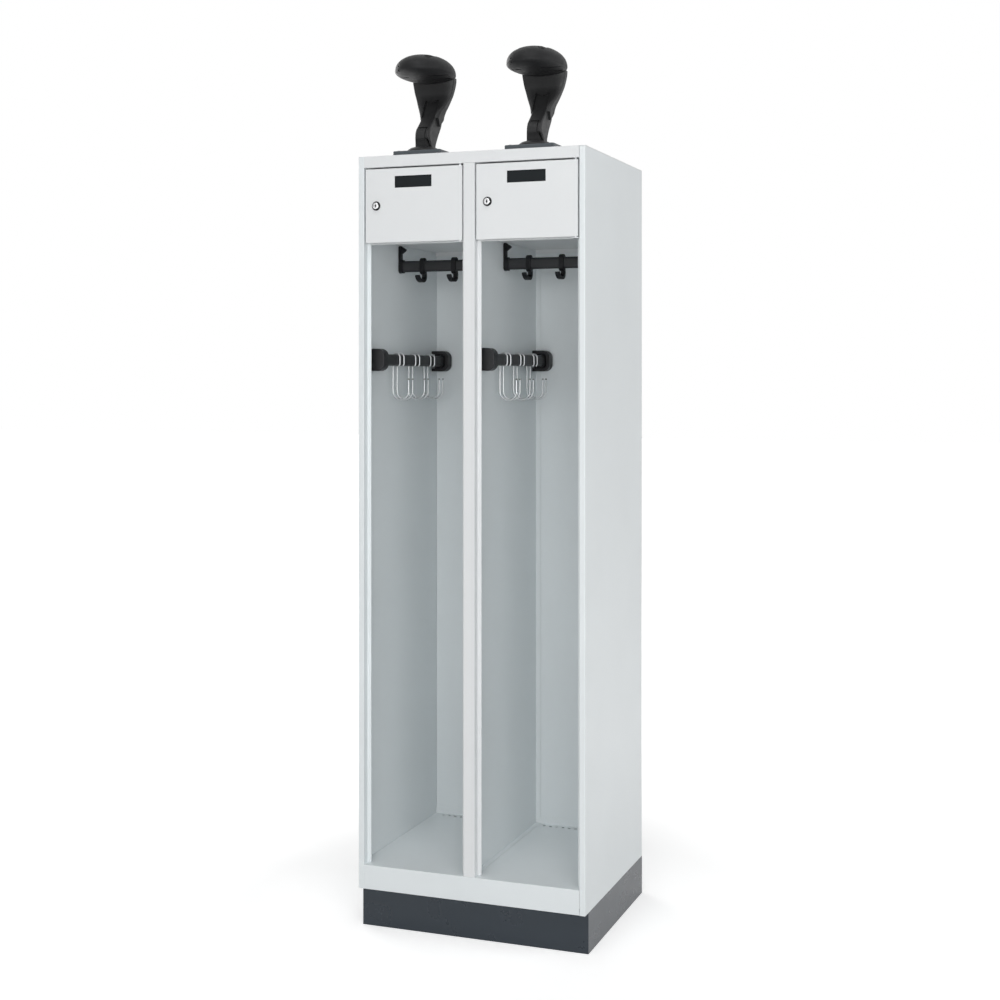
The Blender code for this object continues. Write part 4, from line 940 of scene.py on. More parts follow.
@dataclass
class HelmetHolder(SidePart):
    """One helmet holder: plate with screws, foot rosette, arm, hood and rounded head."""

    head_rise: float = 0.0454       # crown above the head's widest level
    head_drop: float = 0.019
    head_top: float = 0.049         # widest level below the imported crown
    head_fullness: float = 2.15     # exponent of the crown's section; 2 is an ellipse
    head_segments: int = 96
    head_rings: int = 48
    slot_length: float = 0.066
    slot_width: float = 0.016
    slot_depth: float = 0.007
    slot_side: float = 0.031
    slot_forward: float = 0.037
    groove_width: float = 0.0016
    groove_depth: float = 0.0015
    # Level, start and end of each groove in the lower flanks, from the head's centre
    groove_rows: tuple[Triple, ...] = ((-0.0056, -0.047, -0.010), (-0.0148, -0.014, 0.024))
    groove_tilt: float = math.radians(11.5)
    nose_hole: float = 0.0023
    nose_hole_run: float = 0.010
    nose_place: Triple = (-0.0376, -0.0860, 0.0009)
    nose_pitch: float = 0.010
    # Height, front face behind the locker's front, depth and width of the arm's sections
    arm_rows: tuple[Quad, ...] = (
        (0.0000, 0.0670, 0.0300, 0.0470), (0.0154, 0.0640, 0.0306, 0.0450),
        (0.0257, 0.0607, 0.0410, 0.0433), (0.0360, 0.0552, 0.0576, 0.0400),
        (0.0463, 0.0550, 0.0660, 0.0390), (0.0567, 0.0597, 0.0700, 0.0385),
        (0.0668, 0.0700, 0.0680, 0.0380), (0.0777, 0.0825, 0.0610, 0.0385),
        (0.0901, 0.0950, 0.0490, 0.0388), (0.1011, 0.1040, 0.0400, 0.0385),
        (0.1200, 0.1150, 0.0315, 0.0380), (0.1390, 0.1255, 0.0270, 0.0376),
        (0.1500, 0.1300, 0.0240, 0.0370),
    )
    arm_corner_share: float = 0.22
    # Height, centre behind the locker's front, width and depth of the hood's sections
    hood_rows: tuple[Quad, ...] = (
        (0.0650, 0.1190, 0.0468, 0.0520), (0.0727, 0.1197, 0.0480, 0.0520),
        (0.0901, 0.1221, 0.0515, 0.0520), (0.1010, 0.1236, 0.0562, 0.0490),
        (0.1115, 0.1261, 0.0648, 0.0420), (0.1218, 0.1298, 0.0746, 0.0360),
        (0.1321, 0.1333, 0.0838, 0.0300), (0.1424, 0.1363, 0.0915, 0.0270),
        (0.1529, 0.1385, 0.0992, 0.0260), (0.1632, 0.1390, 0.1053, 0.0260),
        (0.1737, 0.1398, 0.1098, 0.0270), (0.1818, 0.1400, 0.1128, 0.0280),
        (0.1890, 0.1396, 0.1146, 0.0290), (0.1960, 0.1392, 0.1150, 0.0290),
    )
    hood_corner_share: float = 0.45
    section_step: float = 0.0042
    hood_legs: float = 0.071        # tips of the hood's legs above the plate
    hood_waist: float = 0.090
    hood_rear: float = 0.095
    leg_tip: float = 0.118          # leg's tip behind the locker's front
    leg_edges: Pair = (0.106, 0.145)
    arch_half: float = 0.0185
    arch_head: float = 0.141
    arch_dip: float = 0.008
    arch_back: float = 0.133
    under_reach: float = 0.2        # cutter under the hood, behind the locker's front
    # Line over the arm's foot and the slot under it: across and above the plate
    panel_line: tuple[Pair, ...] = (
        (-0.0120, 0.0620), (0.0100, 0.0620), (0.0084, 0.0335), (0.0140, 0.0330),
    )
    panel_slot: tuple[Pair, ...] = (
        (0.0140, 0.0315), (0.0158, 0.0240), (0.0186, 0.0165), (0.0206, 0.0115),
    )
    panel_widths: Pair = (0.0026, 0.0046)   # of the line and the slot
    panel_ends: Pair = (0.0825, 0.0720)     # their cutters' ends behind the locker's front
    panel_line_depth: float = 0.0030
    rosette_radius: float = 0.043
    rosette_height: float = 0.012
    rosette_setback: float = 0.068
    rosette_edge: float = 0.0006
    # Radius and height of each step of the rosette, as shares of the whole, from the rim up
    rosette_shares: tuple[Pair, ...] = (
        (0.985, 0.20), (0.95, 0.36), (0.80, 0.72), (0.66, 0.88), (0.50, 0.96),
    )
    plate_corner: float = 0.0032
    plate_edge: float = 0.0028
    plate_sheet: float = 0.002
    screw_head: float = 0.005
    screw_rise: float = 0.0028      # packed screws above the plate
    screw_crown: float = 0.0014
    screw_round_share: float = 0.6
    screw_socket: Pair = (0.0017, 0.0034)   # radius of the socket and length of its cutter
    screw_inset: float = 0.012
    centre: Vector = field(init=False)
    base: float = field(init=False)
    half_width: float = field(init=False)
    half_length: float = field(init=False)

    def __post_init__(self) -> None:
        """Take the head's place and half sizes, and the foot's level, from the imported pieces."""
        super().__post_init__()
        self.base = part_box(self.named("holder_stem"))[0].z
        low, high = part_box(self.named("holder_dome"))
        self.half_width = (high.x - low.x) / 2
        self.half_length = (high.y - low.y) / 2
        middle = (low + high) / 2
        self.centre = Vector((middle.x, middle.y, high.z - self.head_top))

    def head_blank(self, name: str, grown: float, segments: int, rings: int) -> bpy.types.Object:
        """The head's plain rounded form.

        Args:
            name: Name of the object.
            grown: How far every side is moved out.
            segments: Segments round it.
            rings: Rings from pole to pole.

        Returns:
            The blank.
        """
        half = (self.half_width + grown, self.half_length + grown, self.head_rise + grown)
        blank = Bench.ball(name, self.centre, half, segments, rings)
        flatter = (self.head_drop + grown) / (self.head_rise + grown)
        with Bench.editing(blank, "VERT"):
            Bench.pick(blank, "verts", lambda point: point.z < self.centre.z - CLEAR)
            bpy.ops.transform.resize(value=(1, 1, flatter), center_override=self.centre)
        for ring in range(1, rings // 2):
            level = math.cos(ring * math.pi / rings)
            height = self.centre.z + half[2] * level
            full = (1 - level ** self.head_fullness) ** (1 / self.head_fullness)
            fuller = full / math.sqrt(1 - level ** 2)
            with Bench.editing(blank, "VERT"):
                Bench.pick(blank, "verts", lambda point: abs(point.z - height) < LEVEL)
                bpy.ops.transform.resize(value=(fuller, fuller, 1), center_override=self.centre)
        return blank

    def head(self) -> bpy.types.Object:
        """The head with its crown slots, nose holes and the grooves in its lower flanks.

        Returns:
            The head.
        """
        name = self.named("helmet_head")
        head = self.head_blank(name, 0, self.head_segments, self.head_rings)
        tilt = Matrix.Rotation(self.groove_tilt, 3, "X")
        normal = tilt @ Vector((0, 0, 1))
        for level, start, end in self.groove_rows:
            for edge in (-self.groove_width / 2, self.groove_width / 2):
                with Bench.editing(head):
                    bpy.ops.mesh.select_all(action="SELECT")
                    bpy.ops.mesh.bisect(plane_co=self.centre + normal * (level + edge), plane_no=normal)
            with Bench.editing(head):
                Bench.pick(
                    head, "faces",
                    lambda place, _: abs((place - self.centre).dot(normal) - level) < self.groove_width / 2
                    and start < place.y - self.centre.y < end,
                )
                bpy.ops.mesh.extrude_region_shrink_fatten(
                    TRANSFORM_OT_shrink_fatten={"value": -self.groove_depth},
                )
        core = self.head_blank(name + "_core", -self.slot_depth, segments=48, rings=24)
        for side in (-self.slot_side, self.slot_side):
            place = self.centre + Vector((side, -self.slot_forward, self.head_rise))
            tool = Bench.rod(name + "_slot", place, self.slot_width / 2, self.head_rise)
            stretch = (self.slot_length - self.slot_width) / 2
            for way in (-1, 1):
                with Bench.editing(tool, "VERT"):
                    Bench.pick(tool, "verts", lambda point: (point.y - place.y) * way > CLEAR)
                    bpy.ops.transform.translate(value=(0, stretch * way, 0))
            Bench.carve(tool, Bench.copy(core, name + "_floor"))
            Bench.carve(head, tool)
        bpy.data.objects.remove(core, do_unlink=True)
        for way in (-1, 1):
            place = self.centre + Vector(self.nose_place) + Vector((0, 0, way * self.nose_pitch / 2))
            hole = Bench.rod(name + "_hole", place, self.nose_hole, self.nose_hole_run, Axis.Y, sides=16)
            Bench.carve(head, hole)
        Bench.shade(head)
        return head

    def stem(self, name: str, rows: Sequence[Quad], corner: float, mid: bool) -> bpy.types.Object:
        """Draw the arm or the hood through its table.

        Args:
            name: Name of the piece.
            rows: Its table.
            corner: Corner radius as a share of the half sizes.
            mid: Whether the table gives the middle of a section, and not its front face.

        Returns:
            The column.
        """
        low, high = rows[0][0], rows[-1][0]
        count = round((high - low) / self.section_step)
        sections = []
        for step in range(count + 1):
            level = low + (high - low) * step / count
            back, *size = through(rows, level)
            wide, deep = size if mid else size[::-1]
            back += 0 if mid else deep / 2
            sections.append(((self.centre.x, self.front + back, self.base + level), wide / 2, deep / 2))
        return Bench.column(name, sections, corner)

    def arm(self) -> bpy.types.Object:
        """The squared arm that sweeps up from the foot, with a panel line and a slot in front.

        Returns:
            The arm.
        """
        name = self.named("holder_arm")
        arm = self.stem(name, self.arm_rows, self.arm_corner_share, False)
        tools = []
        for points, width, end in zip((self.panel_line, self.panel_slot), self.panel_widths, self.panel_ends):
            mark = stroke([(self.centre.x + across, self.base + up) for across, up in points], width)
            tools.append(Bench.outline(name + "_mark", mark, Axis.Y, self.front, self.front + end))
        line, slot = tools
        Bench.score(arm, line, self.panel_line_depth)
        Bench.carve(arm, slot)
        Bench.shade(arm)
        return arm

    def hood(self) -> bpy.types.Object:
        """The hood under the head, with an arch in front and a leg down each side of the arm.

        Returns:
            The hood.
        """
        name = self.named("holder_hood")
        hood = self.stem(name, self.hood_rows, self.hood_corner_share, True)
        x, base, near, far = self.centre.x, self.base, self.front, self.front + self.under_reach
        left, right, crest = x - self.arch_half, x + self.arch_half, base + self.arch_head
        arch = [(left, base), (right, base), (right, crest), (x, crest - self.arch_dip), (left, crest)]
        Bench.carve(hood, Bench.outline(name + "_arch", arch, Axis.Y, near, self.front + self.arch_back))
        waist, rear = base + self.hood_waist, base + self.hood_rear
        front_edge, rear_edge = (self.front + back for back in self.leg_edges)
        under = [
            (near, waist), (near, base), (far, base), (far, rear), (rear_edge, rear),
            (self.front + self.leg_tip, base + self.hood_legs), (front_edge, waist),
        ]
        reach = self.hood_rows[-1][2]
        Bench.carve(hood, Bench.outline(name + "_under", under, Axis.X, x - reach, x + reach))
        Bench.carve(hood, self.head_blank(name + "_seat", CLEAR, segments=64, rings=32))
        Bench.shade(hood)
        return hood

    def rosette(self) -> bpy.types.Object:
        """The round foot, drawn up in steps from a disc.

        Returns:
            The rosette.
        """
        name = self.named("holder_rosette")
        centre = Vector((self.centre.x, self.front + self.rosette_setback, self.base))
        rim = self.rosette_height * self.rosette_shares[0][1] / 2
        middle = centre + Vector((0, 0, rim / 2))
        disc = Bench.rod(name, middle, self.rosette_radius, rim, Axis.Z, sides=72)
        with Bench.editing(disc):
            Bench.pick(disc, "faces", lambda _, normal: normal.z > FACING)
            radius, height = 1.0, rim
            for out, up in self.rosette_shares:
                rise = self.rosette_height * up - height
                bpy.ops.mesh.extrude_region_move(TRANSFORM_OT_translate={"value": (0, 0, rise)})
                scale = out / radius
                bpy.ops.transform.resize(value=(scale, scale, 1), center_override=centre)
                radius, height = out, height + rise
        Bench.round_edges(disc, self.rosette_edge, segments=2, angle=30)
        Bench.shade(disc)
        return disc

    def plate(self) -> bpy.types.Object:
        """The folded plate, with rounded corners and rounded top edges.

        Returns:
            The plate, as thick as its sheet.
        """
        name = self.named("holder_base")
        low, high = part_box(self.named("holder_plate"))
        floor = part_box("roof_panel")[1].z + CLEAR
        top = high.z - self.screw_rise
        plate = Bench.block(name, (low.x, low.y, floor), (high.x, high.y, top))
        with Bench.editing(plate):
            Bench.pick(plate, "faces", lambda _, normal: normal.z < -FACING)
            bpy.ops.mesh.delete(type="ONLY_FACE")
        with Bench.editing(plate, "EDGE"):
            Bench.pick(plate, "edges", lambda a, b: abs(a.z - b.z) > CLEAR)
            bpy.ops.mesh.bevel(offset=self.plate_corner, segments=5)
        with Bench.editing(plate, "EDGE"):
            Bench.pick(plate, "edges", lambda a, b: min(a.z, b.z) > top - CLEAR)
            bpy.ops.mesh.bevel(offset=self.plate_edge, segments=4)
        Bench.apply(plate, "SOLIDIFY", thickness=self.plate_sheet, offset=-1, use_even_offset=True)
        Bench.shade(plate)
        return plate

    def screws(self) -> list[bpy.types.Object]:
        """Four dome-head screws with a hexagon socket, one copied three times.

        Returns:
            The screws, one at each corner of the plate.
        """
        low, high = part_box(self.named("holder_plate"))
        top = high.z - self.screw_rise
        near = low + Vector((self.screw_inset, self.screw_inset, 0))
        pitch = high - low - Vector((2 * self.screw_inset, 2 * self.screw_inset, 0))
        centre = Vector((near.x, near.y, top + self.screw_crown / 2))
        name = self.named("base_screw")
        first = Bench.rod(name + "_1", centre, self.screw_head, self.screw_crown, Axis.Z, sides=32)
        with Bench.editing(first, "EDGE"):
            Bench.pick(first, "edges", lambda a, b: min(a.z, b.z) > centre.z)
            bpy.ops.mesh.bevel(offset=self.screw_crown * self.screw_round_share, segments=5)
        above = centre + Vector((0, 0, self.screw_crown))
        socket = Bench.rod(name + "_socket", above, *self.screw_socket, Axis.Z, sides=6)
        Bench.carve(first, socket)
        Bench.shade(first, angle=30)
        made = [first]
        for number, (across, along) in enumerate(((1, 0), (0, 1), (1, 1)), 2):
            made.append(Bench.copy(first, f"{name}_{number}", (pitch.x * across, pitch.y * along, 0)))
        return made

    def build(self, dresser: Dresser) -> None:
        """Make the holder and dress it.

        Args:
            dresser: Gives the pieces their finish and tells the frame what they are.
        """
        # The head's darker black paints shade against the light on its top.
        dresser.piece(self.head(), "head", nodes=[self.named("holder_dome")])
        for make in (self.arm, self.hood, self.rosette):
            # The lighter holder black paints light into the head's shadow on the hood.
            dresser.piece(make(), "holder", nodes=[self.named("holder_stem")])
        dresser.piece(self.plate(), "plate", nodes=[self.named("holder_plate")])
        for screw in self.screws():
            dresser.piece(screw, "plate", nodes=[self.named("holder_plate")])


@dataclass
class LockBox(SidePart):
    """One lock box: door, name plate pocket, lock and hinge."""

    ring_radius: float = 0.0117
    ring_face: float = 0.0086       # its radius in front
    ring_proud: float = 0.0054
    bezel_radius: float = 0.0080
    bezel_proud: float = 0.0056
    bezel_end: float = 0.0218       # end of the threaded body behind the door's front
    plug_radius: float = 0.0060
    plug_sunk: float = 0.0005       # plug behind the bezel's face
    key_slot: Pair = (0.0052, 0.0104)
    key_depth: float = 0.0032
    key_well: float = 0.0005        # start of the black block that paints the key slot's shade, behind the plug's face
    cam_front: float = 0.0238       # cam behind the door's front
    cam_thick: float = 0.0020
    cam_root: float = 0.0075
    cam_tip: float = 0.0045
    cam_reach: float = 0.030
    label_rim: float = 0.0013
    label_pocket: float = 0.0020
    label_body: Pair = (0.0995, 0.029)
    label_flange: Pair = (0.0013, 0.0025)   # clip's faces behind the door's front
    bore_reach: float = 0.010       # how far a bore's cutter runs from the door's front
    nut_slack: float = 0.0007       # between the nut and the threaded body
    fine_edge: float = 0.0003       # rounding of the cam, the nut and the clip
    ring_edge: float = 0.0004       # rounding of the ring and the plug
    bezel_edge: float = 0.0011
    wards_edge: float = 0.0001
    label_edge: float = 0.00035
    axis: Vector = field(init=False)

    def __post_init__(self) -> None:
        """Take the lock's axis from its packed barrel."""
        super().__post_init__()
        self.axis = self.middle("lock_barrel")

    def spindle(
        self, name: str, radius: float, start: float, end: float, sides: int = 48,
    ) -> bpy.types.Object:
        """A cylinder on the lock's axis.

        Args:
            name: Name of the piece.
            radius: Its radius.
            start: Its front end behind the door's front.
            end: Its rear end behind the door's front.
            sides: Number of its sides.

        Returns:
            The cylinder.
        """
        centre = (self.axis.x, self.front + (start + end) / 2, self.axis.z)
        return Bench.rod(name, centre, radius, end - start, Axis.Y, sides)

    def ring(self) -> bpy.types.Object:
        """The black ring round the lock, narrower in front.

        Returns:
            The ring.
        """
        ring = self.spindle(self.named("lock_ring"), self.ring_radius, -self.ring_proud, -CLEAR)
        share = self.ring_face / self.ring_radius
        with Bench.editing(ring):
            Bench.pick(ring, "faces", lambda _, normal: normal.y < -FACING)
            bpy.ops.transform.resize(value=(share, 1, share), center_override=self.axis)
        reach = self.bore_reach
        Bench.carve(ring, self.spindle("bore", self.bezel_radius + CLEAR, -reach, reach))
        Bench.round_edges(ring, self.ring_edge)
        Bench.shade(ring)
        return ring

    def bezel(self) -> bpy.types.Object:
        """The bright barrel, with its rounded face and the bore for the plug.

        Returns:
            The barrel.
        """
        name = self.named("lock_bezel")
        bezel = self.spindle(name, self.bezel_radius, -self.bezel_proud, self.bezel_end)
        with Bench.editing(bezel, "EDGE"):
            face = self.front - self.bezel_proud + CLEAR
            Bench.pick(bezel, "edges", lambda a, b: max(a.y, b.y) < face)
            bpy.ops.mesh.bevel(offset=self.bezel_edge, segments=5)
        end = self.bezel_end + OVERRUN
        Bench.carve(bezel, self.spindle("bore", self.plug_radius + CLEAR, -self.bore_reach, end))
        Bench.shade(bezel, angle=50)
        return bezel

    def keyway(self, inset: float) -> list[Pair]:
        """The key slot's outline, drawn in by an amount.

        Args:
            inset: How far its sides are drawn in.

        Returns:
            The outline across and up.
        """
        x, z = self.axis.x, self.axis.z
        across, up = (size / 2 - inset for size in self.key_slot)
        return [(x - across, z), (x, z - up), (x + across, z), (x, z + up)]

    def well(self) -> bpy.types.Object:
        """A black block deep in the key slot: painted shade that darkens the slot.

        Returns:
            The block.
        """
        mouth = self.front + self.plug_sunk - self.bezel_proud
        start, end = mouth + self.key_well, mouth + self.key_depth - CLEAR
        well = Bench.outline(self.named("lock_wards"), self.keyway(CLEAR / 3), Axis.Y, start, end)
        Bench.round_edges(well, self.wards_edge, segments=2)
        return well

    def core(self) -> bpy.types.Object:
        """The plug with its key slot, and the cam behind the door.

        Returns:
            The plug and the cam in one.
        """
        front = self.plug_sunk - self.bezel_proud
        back = self.cam_front + self.cam_thick
        core = self.spindle(self.named("lock_core"), self.plug_radius, front, back)
        with Bench.editing(core, "EDGE"):
            Bench.pick(core, "edges", lambda a, b: max(a.y, b.y) < self.front + front + CLEAR)
            bpy.ops.mesh.bevel(offset=self.ring_edge, segments=3)
        x, z = self.axis.x, self.axis.z
        mouth = self.front + front
        start, end = mouth - OVERRUN, mouth + self.key_depth
        Bench.carve(core, Bench.outline("key_slot", self.keyway(0), Axis.Y, start, end))
        cam = arc((x, z), self.cam_root, 0, math.pi, steps=16)
        cam += arc((x, z + self.cam_tip - self.cam_reach), self.cam_tip, math.pi, TURN, steps=16)
        near = self.front + self.cam_front
        plate = Bench.outline("cam", cam, Axis.Y, near, near + self.cam_thick - CLEAR)
        Bench.round_edges(plate, self.fine_edge, segments=2)
        Bench.carve(core, plate, way="UNION")
        Bench.shade(core, angle=15)
        return core

    def nut(self) -> bpy.types.Object:
        """The hexagon nut behind the door's sheet.

        Returns:
            The nut.
        """
        low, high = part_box(self.named("lock_nut"))
        start, end = low.y - self.front, high.y - self.front
        nut = self.spindle(self.named("lock_hex"), (high.z - low.z) / 2, start, end, sides=6)
        Bench.carve(nut, self.spindle("bore", self.bezel_radius + self.nut_slack, 0, self.bore_reach))
        Bench.round_edges(nut, self.fine_edge, segments=2, angle=50)
        Bench.shade(nut)
        return nut

    def label(self) -> bpy.types.Object:
        """The pocket for a name plate, left bare, with the flange that holds it in the door.

        Returns:
            The pocket and its flange in one.
        """
        low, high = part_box(self.named("label_holder"))
        x, _, z = (low + high) / 2
        across, up = (size / 2 for size in self.label_body)
        name = self.named("label_frame")
        pocket = Bench.block(name, (x - across, low.y, z - up), (x + across, high.y, z + up))
        with Bench.editing(pocket):
            Bench.pick(pocket, "faces", lambda _, normal: normal.y < -FACING)
            bpy.ops.mesh.inset(thickness=self.label_rim)
            bpy.ops.mesh.extrude_region_move(TRANSFORM_OT_translate={"value": (0, self.label_pocket, 0)})
        Bench.round_edges(pocket, self.label_edge, segments=2)
        start, end = (self.front + back for back in self.label_flange)
        flange = Bench.block("flange", (low.x, start, low.z), (high.x, end, high.z))
        Bench.round_edges(flange, self.fine_edge, segments=2)
        Bench.carve(pocket, flange, way="UNION")
        Bench.shade(pocket)
        return pocket

    def build(self, dresser: Dresser) -> None:
        """Make the lock and the name plate pocket, and dress the door.

        Args:
            dresser: Gives the pieces their finish and tells the frame what they are.
        """
        door, plug, barrel = self.named("door"), self.named("lock_plug"), self.named("lock_barrel")
        dresser.node(door, "door")
        dresser.piece(self.label(), "label", door, [self.named("label_holder")])
        dresser.piece(self.ring(), "ring", door, [barrel])
        dresser.piece(self.bezel(), "chrome", door, [barrel])
        dresser.piece(self.core(), "chrome", plug, [plug])
        # A black block in the key slot paints the slot's shade; it takes the ring's black finish.
        dresser.piece(self.well(), "ring", plug, [plug])
        dresser.piece(self.nut(), "zinc", door, [self.named("lock_nut")])
        for fitting in ("hinge_pin", "hinge_lug"):
            dresser.node(self.named(fitting), "zinc")


@dataclass
class OvalTube:
    """The oval tube that both rails are cut from."""

    height: float = 0.030
    width: float = 0.015
    wall: float = 0.0015
    sides: int = 48

    def length(self, name: str, node: str, axis: Axis) -> bpy.types.Object:
        """Cut a length to stand for a packed rail.

        Args:
            name: Name of the piece.
            node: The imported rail.
            axis: The direction that it runs in.

        Returns:
            The hollow tube.
        """
        low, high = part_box(node)
        run = max(high - low)
        centre = (low + high) / 2
        tube = Bench.oval_rod(name, centre, self.height, self.width, run, axis, self.sides, "NOTHING")
        Bench.apply(tube, "SOLIDIFY", thickness=self.wall, offset=-1, use_even_offset=True)
        Bench.shade(tube)
        return tube

    def solid(
        self, name: str, centre: Sequence[float], grown: float, run: float, axis: Axis,
    ) -> bpy.types.Object:
        """A solid length, grown on all sides: a sleeve's outside or a bore.

        Args:
            name: Name of the piece.
            centre: Its centre.
            grown: How far its sides stand out from the tube's.
            run: Its length.
            axis: The direction that it runs in.

        Returns:
            The solid length.
        """
        return Bench.oval_rod(name, centre, self.height + 2 * grown, self.width + 2 * grown, run, axis)


@dataclass
class HookRail(SidePart):
    """The rail across a compartment, its brackets and its sliding hooks."""

    tube: OvalTube = field(default_factory=OvalTube)
    bracket_thick: float = 0.0058
    bracket_width: float = 0.018
    bracket_top: float = 0.055      # above the tube's centre
    bracket_foot: float = 0.018     # below it
    bracket_edge: float = 0.0012    # rounding, as in the other edges below
    collar_edge: float = 0.0008
    peg_edge: float = 0.0010
    hook_edge: float = 0.0013
    prong_edge: float = 0.0012
    prong_steps: int = 4            # points of the prong's curve from one row to the next
    socket_floor: float = 0.005
    socket_overrun: float = 0.002
    running: float = 0.0004         # clearance of a hook's ring on the tube
    collar_reach: float = 0.0080
    collar_wall: float = 0.0026     # beyond the tube's section
    peg_reach: float = 0.0135
    peg_drop: float = 0.0090        # peg's tip below the bracket's top
    peg_tip: float = 0.0030
    peg_height: float = 0.0225
    peg_width: float = 0.0100
    hook_width: float = 0.0130
    hook_crown: float = 0.0070      # ring above and under the tube
    hook_cheek: float = 0.0036      # ring beside the tube
    hook_thick: float = 0.0070
    prong_width: float = 0.0115
    # Prong's centre line: in front of the tube's centre and below its lower edge
    prong_line: tuple[Pair, ...] = (
        (-0.0070, 0.0010), (-0.0090, 0.0090), (-0.0078, 0.0170), (-0.0010, 0.0232), (0.0100, 0.0252),
        (0.0220, 0.0240), (0.0315, 0.0196), (0.0375, 0.0135),
    )
    hook_numbers: tuple[int, ...] = (1, 2, 3)

    def centre(self) -> Vector:
        """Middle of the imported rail."""
        return self.middle("hook_rail")

    def bracket(self, number: int) -> bpy.types.Object:
        """A wall bracket with a collar and socket for the tube, and a small peg.

        Args:
            number: 1 on the left wall, 2 on the right.

        Returns:
            The bracket.
        """
        low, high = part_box(self.named("hook_rail_bracket", number))
        inward = 1 if number == 1 else -1
        face = low.x if number == 1 else high.x
        outer = face + self.bracket_thick * inward
        y, z = self.centre().y, self.centre().z
        half = self.bracket_width / 2
        corner = half / 2
        shoulder = z + self.bracket_top - corner
        outline = arc((y, z + half - self.bracket_foot), half, math.pi, TURN, steps=20)
        outline += arc((y + half - corner, shoulder), corner, 0, QUARTER, steps=6)
        outline += arc((y + corner - half, shoulder), corner, QUARTER, math.pi, steps=6)
        bracket = Bench.outline(self.named("rail_bracket", number), outline, Axis.X, face, outer)
        Bench.round_edges(bracket, self.bracket_edge)
        collar_run = self.collar_reach + self.bracket_thick / 2
        middle = outer + (self.collar_reach - self.bracket_thick / 2) * inward / 2
        collar = self.tube.solid("collar", (middle, y, z), self.collar_wall, collar_run, Axis.X)
        Bench.round_edges(collar, self.collar_edge)
        root, crest = (face + outer) / 2, z + self.bracket_top
        tip = outer + self.peg_reach * inward
        nib = crest - self.peg_drop
        beak = [
            (root, crest - CLEAR), (outer, crest - CLEAR), (tip, nib), (tip, nib - self.peg_tip),
            (outer, crest - self.peg_height), (root, crest - self.peg_height),
        ]
        peg = Bench.outline("peg", beak, Axis.Y, y - self.peg_width / 2, y + self.peg_width / 2)
        Bench.round_edges(peg, self.peg_edge, angle=20)
        Bench.carve(bracket, collar, peg, way="UNION")
        depth = self.bracket_thick - self.socket_floor + self.collar_reach + self.socket_overrun
        start = face + self.socket_floor * inward
        place = (start + depth * inward / 2, y, z)
        Bench.carve(bracket, self.tube.solid("socket", place, CLEAR, depth, Axis.X))
        Bench.shade(bracket)
        return bracket

    def hook(self, number: int) -> bpy.types.Object:
        """A hook whose ring slides on the tube.

        Args:
            number: Its number along the rail.

        Returns:
            The hook.
        """
        low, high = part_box(self.named("coat_hook", number))
        x = (low.x + high.x) / 2
        y, z = self.centre().y, self.centre().z
        ring = Bench.oval_rod(
            self.named("sliding_hook", number), (x, y, z), self.tube.height + 2 * self.hook_crown,
            self.tube.width + 2 * self.hook_cheek, self.hook_width, Axis.X,
        )
        Bench.round_edges(ring, self.hook_edge)
        base = z - self.tube.height / 2
        rows = [(place, y - ahead, base - down) for place, (ahead, down) in enumerate(self.prong_line)]
        steps = self.prong_steps
        line = [through(rows, step / steps) for step in range(steps * (len(rows) - 1) + 1)]
        start, end = x - self.prong_width / 2, x + self.prong_width / 2
        prong = Bench.outline("prong", stroke(line, self.hook_thick), Axis.X, start, end)
        end_place = (x, *line[-1])
        tip = Bench.rod("tip", end_place, self.hook_thick / 2, self.prong_width, Axis.X, sides=32)
        Bench.carve(prong, tip, way="UNION")
        Bench.round_edges(prong, self.prong_edge, angle=50)
        Bench.carve(ring, prong, way="UNION")
        bore = self.tube.solid("bore", (x, y, z), self.running, self.hook_width * 2, Axis.X)
        Bench.carve(ring, bore)
        Bench.shade(ring)
        return ring

    def build(self, dresser: Dresser) -> None:
        """Make the rail's pieces and dress them.

        Args:
            dresser: Gives the pieces their finish and tells the frame what they are.
        """
        rail = self.named("hook_rail")
        tube = self.tube.length(self.named("cross_tube"), rail, Axis.X)
        dresser.piece(tube, "tube", nodes=[rail])
        for number in (1, 2):
            node = self.named("hook_rail_bracket", number)
            dresser.piece(self.bracket(number), "fitting", nodes=[node])
        for number in self.hook_numbers:
            node = self.named("coat_hook", number)
            dresser.piece(self.hook(number), "fitting", node, [node])


